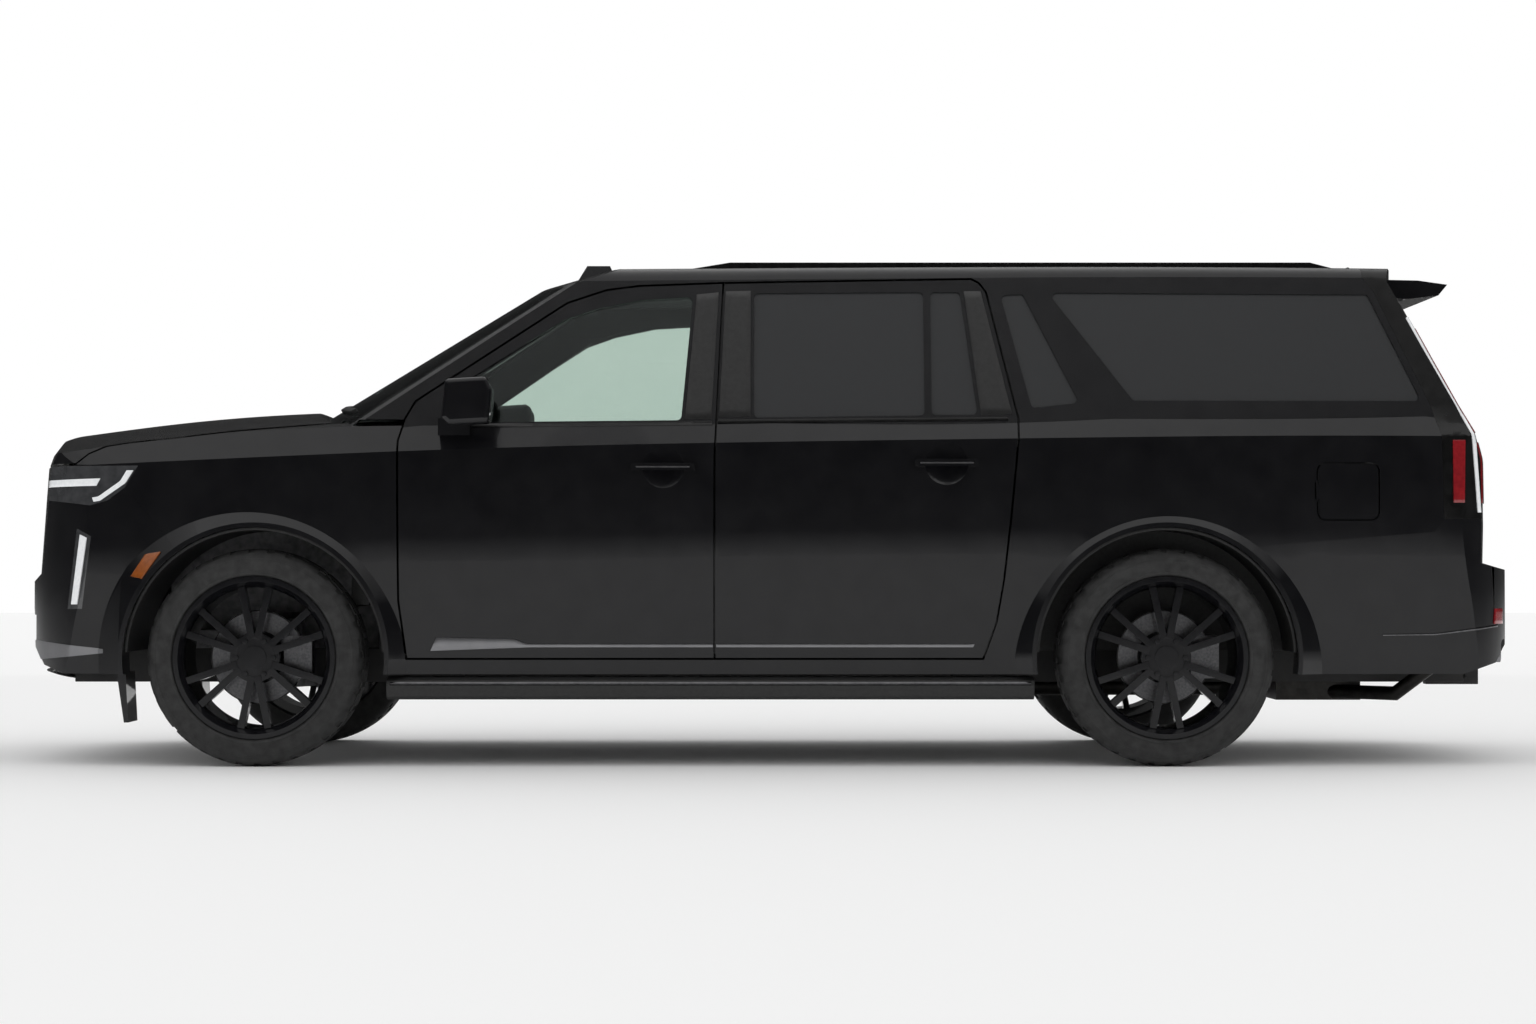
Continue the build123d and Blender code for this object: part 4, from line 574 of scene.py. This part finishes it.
# Corner panels between tail lamps and rear bumper, in line with the lamps
CORNER_INNER_Y = 0.784
CORNER_WIDE = 0.131
CORNER_LOW_Z = 0.722
CORNER_HIGH = 0.236
CORNER_X = 2.712
CORNER_SLOPE = 0.25
CORNER_THICK = 0.03
bpy.ops.mesh.primitive_grid_add(x_subdivisions=12, y_subdivisions=16, size=1)
corner = bpy.context.object
corner.name = "corner_panel_left"
for vertex in corner.data.vertices:
    out = (vertex.co.x + 0.5) * CORNER_WIDE
    vertex.co = (CORNER_X - CORNER_SLOPE * out, -CORNER_INNER_Y - out,
                 CORNER_LOW_Z + (vertex.co.y + 0.5) * CORNER_HIGH)
modify(corner, "SOLIDIFY", thickness=CORNER_THICK, offset=1.0)
in_edit(corner, outward)
corner_front = max(vertex.co.x for vertex in corner.data.vertices)
corner.data.transform(Matrix.Translation((CORNER_X - corner_front, 0, 0)))
modify(corner, "BEVEL", width=0.004, segments=3, limit_method="ANGLE", angle_limit=math.radians(50))
smooth(corner, 40)
paint(corner, gloss_black)
both_sides(corner, "chassis")

# Bars across the lower intake, following the curve of the nose
NOSE_R = 2.962
NOSE_CENTRE_X = 0.117
BAR_HALF = 0.69
BAR_HIGH = 0.009
BAR_THICK = 0.014
for number, z in enumerate((0.486, 0.512, 0.538)):
    bpy.ops.mesh.primitive_grid_add(x_subdivisions=48, y_subdivisions=1, size=1)
    bar = bpy.context.object
    bar.name = f"intake_bar_{number}"
    for vertex in bar.data.vertices:
        y = vertex.co.x * 2 * BAR_HALF
        vertex.co = (NOSE_CENTRE_X - math.sqrt(NOSE_R ** 2 - y * y), y, z + vertex.co.y * BAR_HIGH)
    modify(bar, "SOLIDIFY", thickness=BAR_THICK, offset=0.0)
    in_edit(bar, outward)
    modify(bar, "BEVEL", width=0.002, segments=2)
    smooth(bar, 40)
    paint(bar, dark_chrome)
    settle(bar, "chassis")

# Wipers lying at the foot of the windscreen
for number, (y0, y1) in enumerate(((-0.70, -0.08), (0.02, 0.62))):
    blade = laid_on(f"wiper_{number}", [(y0, 1.335), (y1, 1.372)], [(y0, 1.348), (y1, 1.385)], "windscreen",
                    seal_rubber, 0.014, 0.010, 24, 2, "x", -2.6)
    settle(blade, "chassis")


# Door linings with arm rests, and the screen on the dashboard
def lining(name, low, high, target, material, thick, lift):
    return laid_on(name, low, high, target, material, thick, lift, 24, 12, "y", -0.45, True)


both_sides(lining("front_lining_left", [(-1.262, 0.480), (-0.275, 0.480)], [(-1.262, 1.225), (-0.275, 1.235)],
                  "front_door_left", cabin_plastic, 0.012, 0.004), "front_door_left")
both_sides(lining("front_rest_left", [(-1.020, 0.930), (-0.420, 0.930)], [(-1.020, 0.985), (-0.420, 0.985)],
                  "front_door_left", seat_leather, 0.050, 0.030), "front_door_left")
both_sides(lining("rear_lining_left", [(-0.080, 0.480), (0.700, 0.480)], [(-0.080, 1.245), (0.780, 1.252)],
                  "rear_door_left", cabin_plastic, 0.012, 0.004), "rear_door_left")
both_sides(lining("rear_rest_left", [(0.050, 0.945), (0.600, 0.945)], [(0.050, 1.000), (0.600, 1.000)],
                  "rear_door_left", seat_leather, 0.050, 0.030), "rear_door_left")
screen = laid_on("dash_screen", [(-0.620, 1.140), (0.300, 1.140)], [(-0.620, 1.222), (0.300, 1.222)],
                 "dashboard", lamp_cover, 0.012, 0.006, 24, 6, "x", 0.2)
settle(screen, "chassis")


# Padded seats: one cushion, back and head rest are filled and copied to every place
PADS = {
    "cushion": ([(-0.728, 0.700), (-0.742, 0.805), (-0.685, 0.838), (-0.262, 0.808), (-0.216, 0.700)], 0.530),
    "back": ([(-0.306, 0.780), (-0.298, 0.838), (-0.188, 1.432), (-0.074, 1.432), (-0.104, 1.100),
              (-0.164, 0.780)], 0.520),
    "head": ([(-0.197, 1.440), (-0.202, 1.596), (-0.108, 1.616), (-0.084, 1.440)], 0.296),
}
SEAT_PLACES = {
    "front_left": (0.0, -0.43, 1.0), "front_right": (0.0, 0.43, 1.0),
    "middle_left": (0.93, -0.43, 1.0), "middle_right": (0.93, 0.43, 1.0),
    "back_left": (1.83, -0.295, 1.12), "back_right": (1.83, 0.295, 1.12),
}
PAD_ROUND = 0.022
PAD_VOXEL = 0.016
PAD_LIMIT = 0.024
FILL_PRESSURE = 4.0
FILL_FRAMES = 20


def filled(obj):
    rest = [vertex.co.copy() for vertex in obj.data.vertices]
    only(obj)
    cloth = obj.modifiers.new("filling", "CLOTH")
    cloth.settings.use_pressure = True
    cloth.settings.uniform_pressure_force = FILL_PRESSURE
    cloth.settings.effector_weights.gravity = 0.0
    cloth.settings.quality = 4
    cloth.point_cache.frame_start = 1
    cloth.point_cache.frame_end = FILL_FRAMES
    for frame_number in range(1, FILL_FRAMES + 1):
        scene.frame_set(frame_number)
    bpy.ops.object.modifier_apply(modifier=cloth.name)
    scene.frame_set(1)
    for vertex, before in zip(obj.data.vertices, rest):
        step = vertex.co - before
        if step.length > PAD_LIMIT:
            vertex.co = before + step * (PAD_LIMIT / step.length)


for part, (outline, width) in PADS.items():
    bpy.ops.mesh.primitive_cylinder_add(vertices=len(outline), radius=0.3, depth=1.0)
    pad = bpy.context.object
    pad.name = f"{part}_pattern"
    for number, vertex in enumerate(pad.data.vertices):
        x, z = outline[number // 2]
        vertex.co = (x, width / 2 if vertex.co.z > 0 else -width / 2, z)
    in_edit(pad, outward)
    modify(pad, "BEVEL", width=PAD_ROUND, segments=3, limit_method="ANGLE", angle_limit=math.radians(40))
    modify(pad, "REMESH", mode="VOXEL", voxel_size=PAD_VOXEL)
    filled(pad)
    smooth(pad, 180)
    paint(pad, seat_leather)
    for place, (x, y, broad) in SEAT_PLACES.items():
        seat_pad = copied(pad, f"{part}_{place}",
                          Matrix.Translation((x, y, 0)) @ Matrix.Diagonal((1, broad, 1, 1)))
        settle(seat_pad, "chassis")
    bpy.data.objects.remove(pad)

# Carpet on the floor either side of the tunnel
CARPET_MIDDLE = (-0.30, 0.475)
CARPET_SIZE = (2.30, 0.52)
CARPET_Z = 0.471
CARPET_WAVE = 0.002
for side, sign in SIDES.items():
    bpy.ops.mesh.primitive_grid_add(x_subdivisions=40, y_subdivisions=8, size=1)
    mat = bpy.context.object
    mat.name = f"carpet_{side}"
    for vertex in mat.data.vertices:
        x = CARPET_MIDDLE[0] + vertex.co.x * CARPET_SIZE[0]
        y = CARPET_MIDDLE[1] + vertex.co.y * CARPET_SIZE[1]
        vertex.co = (x, sign * y, CARPET_Z + CARPET_WAVE * math.sin(9 * x) * math.sin(11 * y))
    modify(mat, "SOLIDIFY", thickness=0.008, offset=0.0)
    in_edit(mat, outward)
    smooth(mat, 40)
    paint(mat, carpet)
    settle(mat, "chassis")

# Studio: pale floor and backdrop
WHITE = (0.93, 0.93, 0.93)
FLOOR_SIZE = 80


def studio_surface(name, colour):
    material = bpy.data.materials.new(name)
    material.use_nodes = True
    tree = material.node_tree
    shader = tree.nodes["Principled BSDF"]
    shader.inputs["Base Color"].default_value = (*colour, 1)
    shader.inputs["Roughness"].default_value = 0.9
    return material


bpy.ops.mesh.primitive_plane_add(size=FLOOR_SIZE, location=(0, 0, 0))
floor = bpy.context.object
floor.name = "floor"
paint(floor, studio_surface("studio floor", WHITE))

world = bpy.data.worlds.new("studio")
scene.world = world
world.use_nodes = True
backdrop = world.node_tree.nodes["Background"]
backdrop.inputs["Color"].default_value = (1, 1, 1, 1)
backdrop.inputs["Strength"].default_value = 1.0

# Studio walls all round, dark at eye height and pale towards floor and ceiling, seen only in gloss
WALL_R = 11.0
WALL_HIGH = 14.0
WALL_TONES = ((0.0, 0.80), (0.045, 0.03), (0.40, 0.012), (0.50, 0.35), (1.0, 0.85))
bpy.ops.mesh.primitive_cylinder_add(vertices=96, radius=WALL_R, depth=WALL_HIGH, end_fill_type="NOTHING",
                                    location=(0, 0, WALL_HIGH / 2))
wall = bpy.context.object
wall.name = "studio_wall"
wall_paint = studio_surface("studio wall", WHITE)
wall_tree = wall_paint.node_tree
wall_place = wall_tree.nodes.new("ShaderNodeTexCoord")
wall_split = wall_tree.nodes.new("ShaderNodeSeparateXYZ")
wall_height = wall_tree.nodes.new("ShaderNodeMapRange")
wall_height.inputs["From Min"].default_value = -WALL_HIGH / 2
wall_height.inputs["From Max"].default_value = WALL_HIGH / 2
wall_ramp = wall_tree.nodes.new("ShaderNodeValToRGB")
for number, (share, tone) in enumerate(WALL_TONES):
    stops = wall_ramp.color_ramp.elements
    stop = stops[0] if number == 0 else stops[-1] if share == 1.0 else stops.new(share)
    stop.color = (tone, tone, tone, 1)
wall_tree.links.new(wall_place.outputs["Object"], wall_split.inputs["Vector"])
wall_tree.links.new(wall_split.outputs["Z"], wall_height.inputs["Value"])
wall_tree.links.new(wall_height.outputs["Result"], wall_ramp.inputs["Fac"])
wall_tree.links.new(wall_ramp.outputs["Color"], wall_tree.nodes["Principled BSDF"].inputs["Base Color"])
paint(wall, wall_paint)
wall.visible_camera = False
wall.visible_diffuse = False
wall.visible_shadow = False
wall.visible_transmission = False

# Camera at the photograph's place
FRAME_WIDTH_PX = 1536.0
FRAME_MIDDLE_PX = 512.0
FOCAL_PX = 3421.0
HORIZON_PX = 565.0
SENSOR_MM = 36.0
CAMERA_PLACE = (0.0, -13.77, 0.753)
bpy.ops.object.camera_add(location=CAMERA_PLACE)
camera = bpy.context.object
tilt = math.atan((HORIZON_PX - FRAME_MIDDLE_PX) / FOCAL_PX)
camera.rotation_euler = (math.pi / 2 + tilt, 0, 0)
camera.data.sensor_width = SENSOR_MM
camera.data.lens = FOCAL_PX / FRAME_WIDTH_PX * SENSOR_MM
camera.data.dof.use_dof = False
scene.camera = camera
scene.view_settings.view_transform = "Standard"
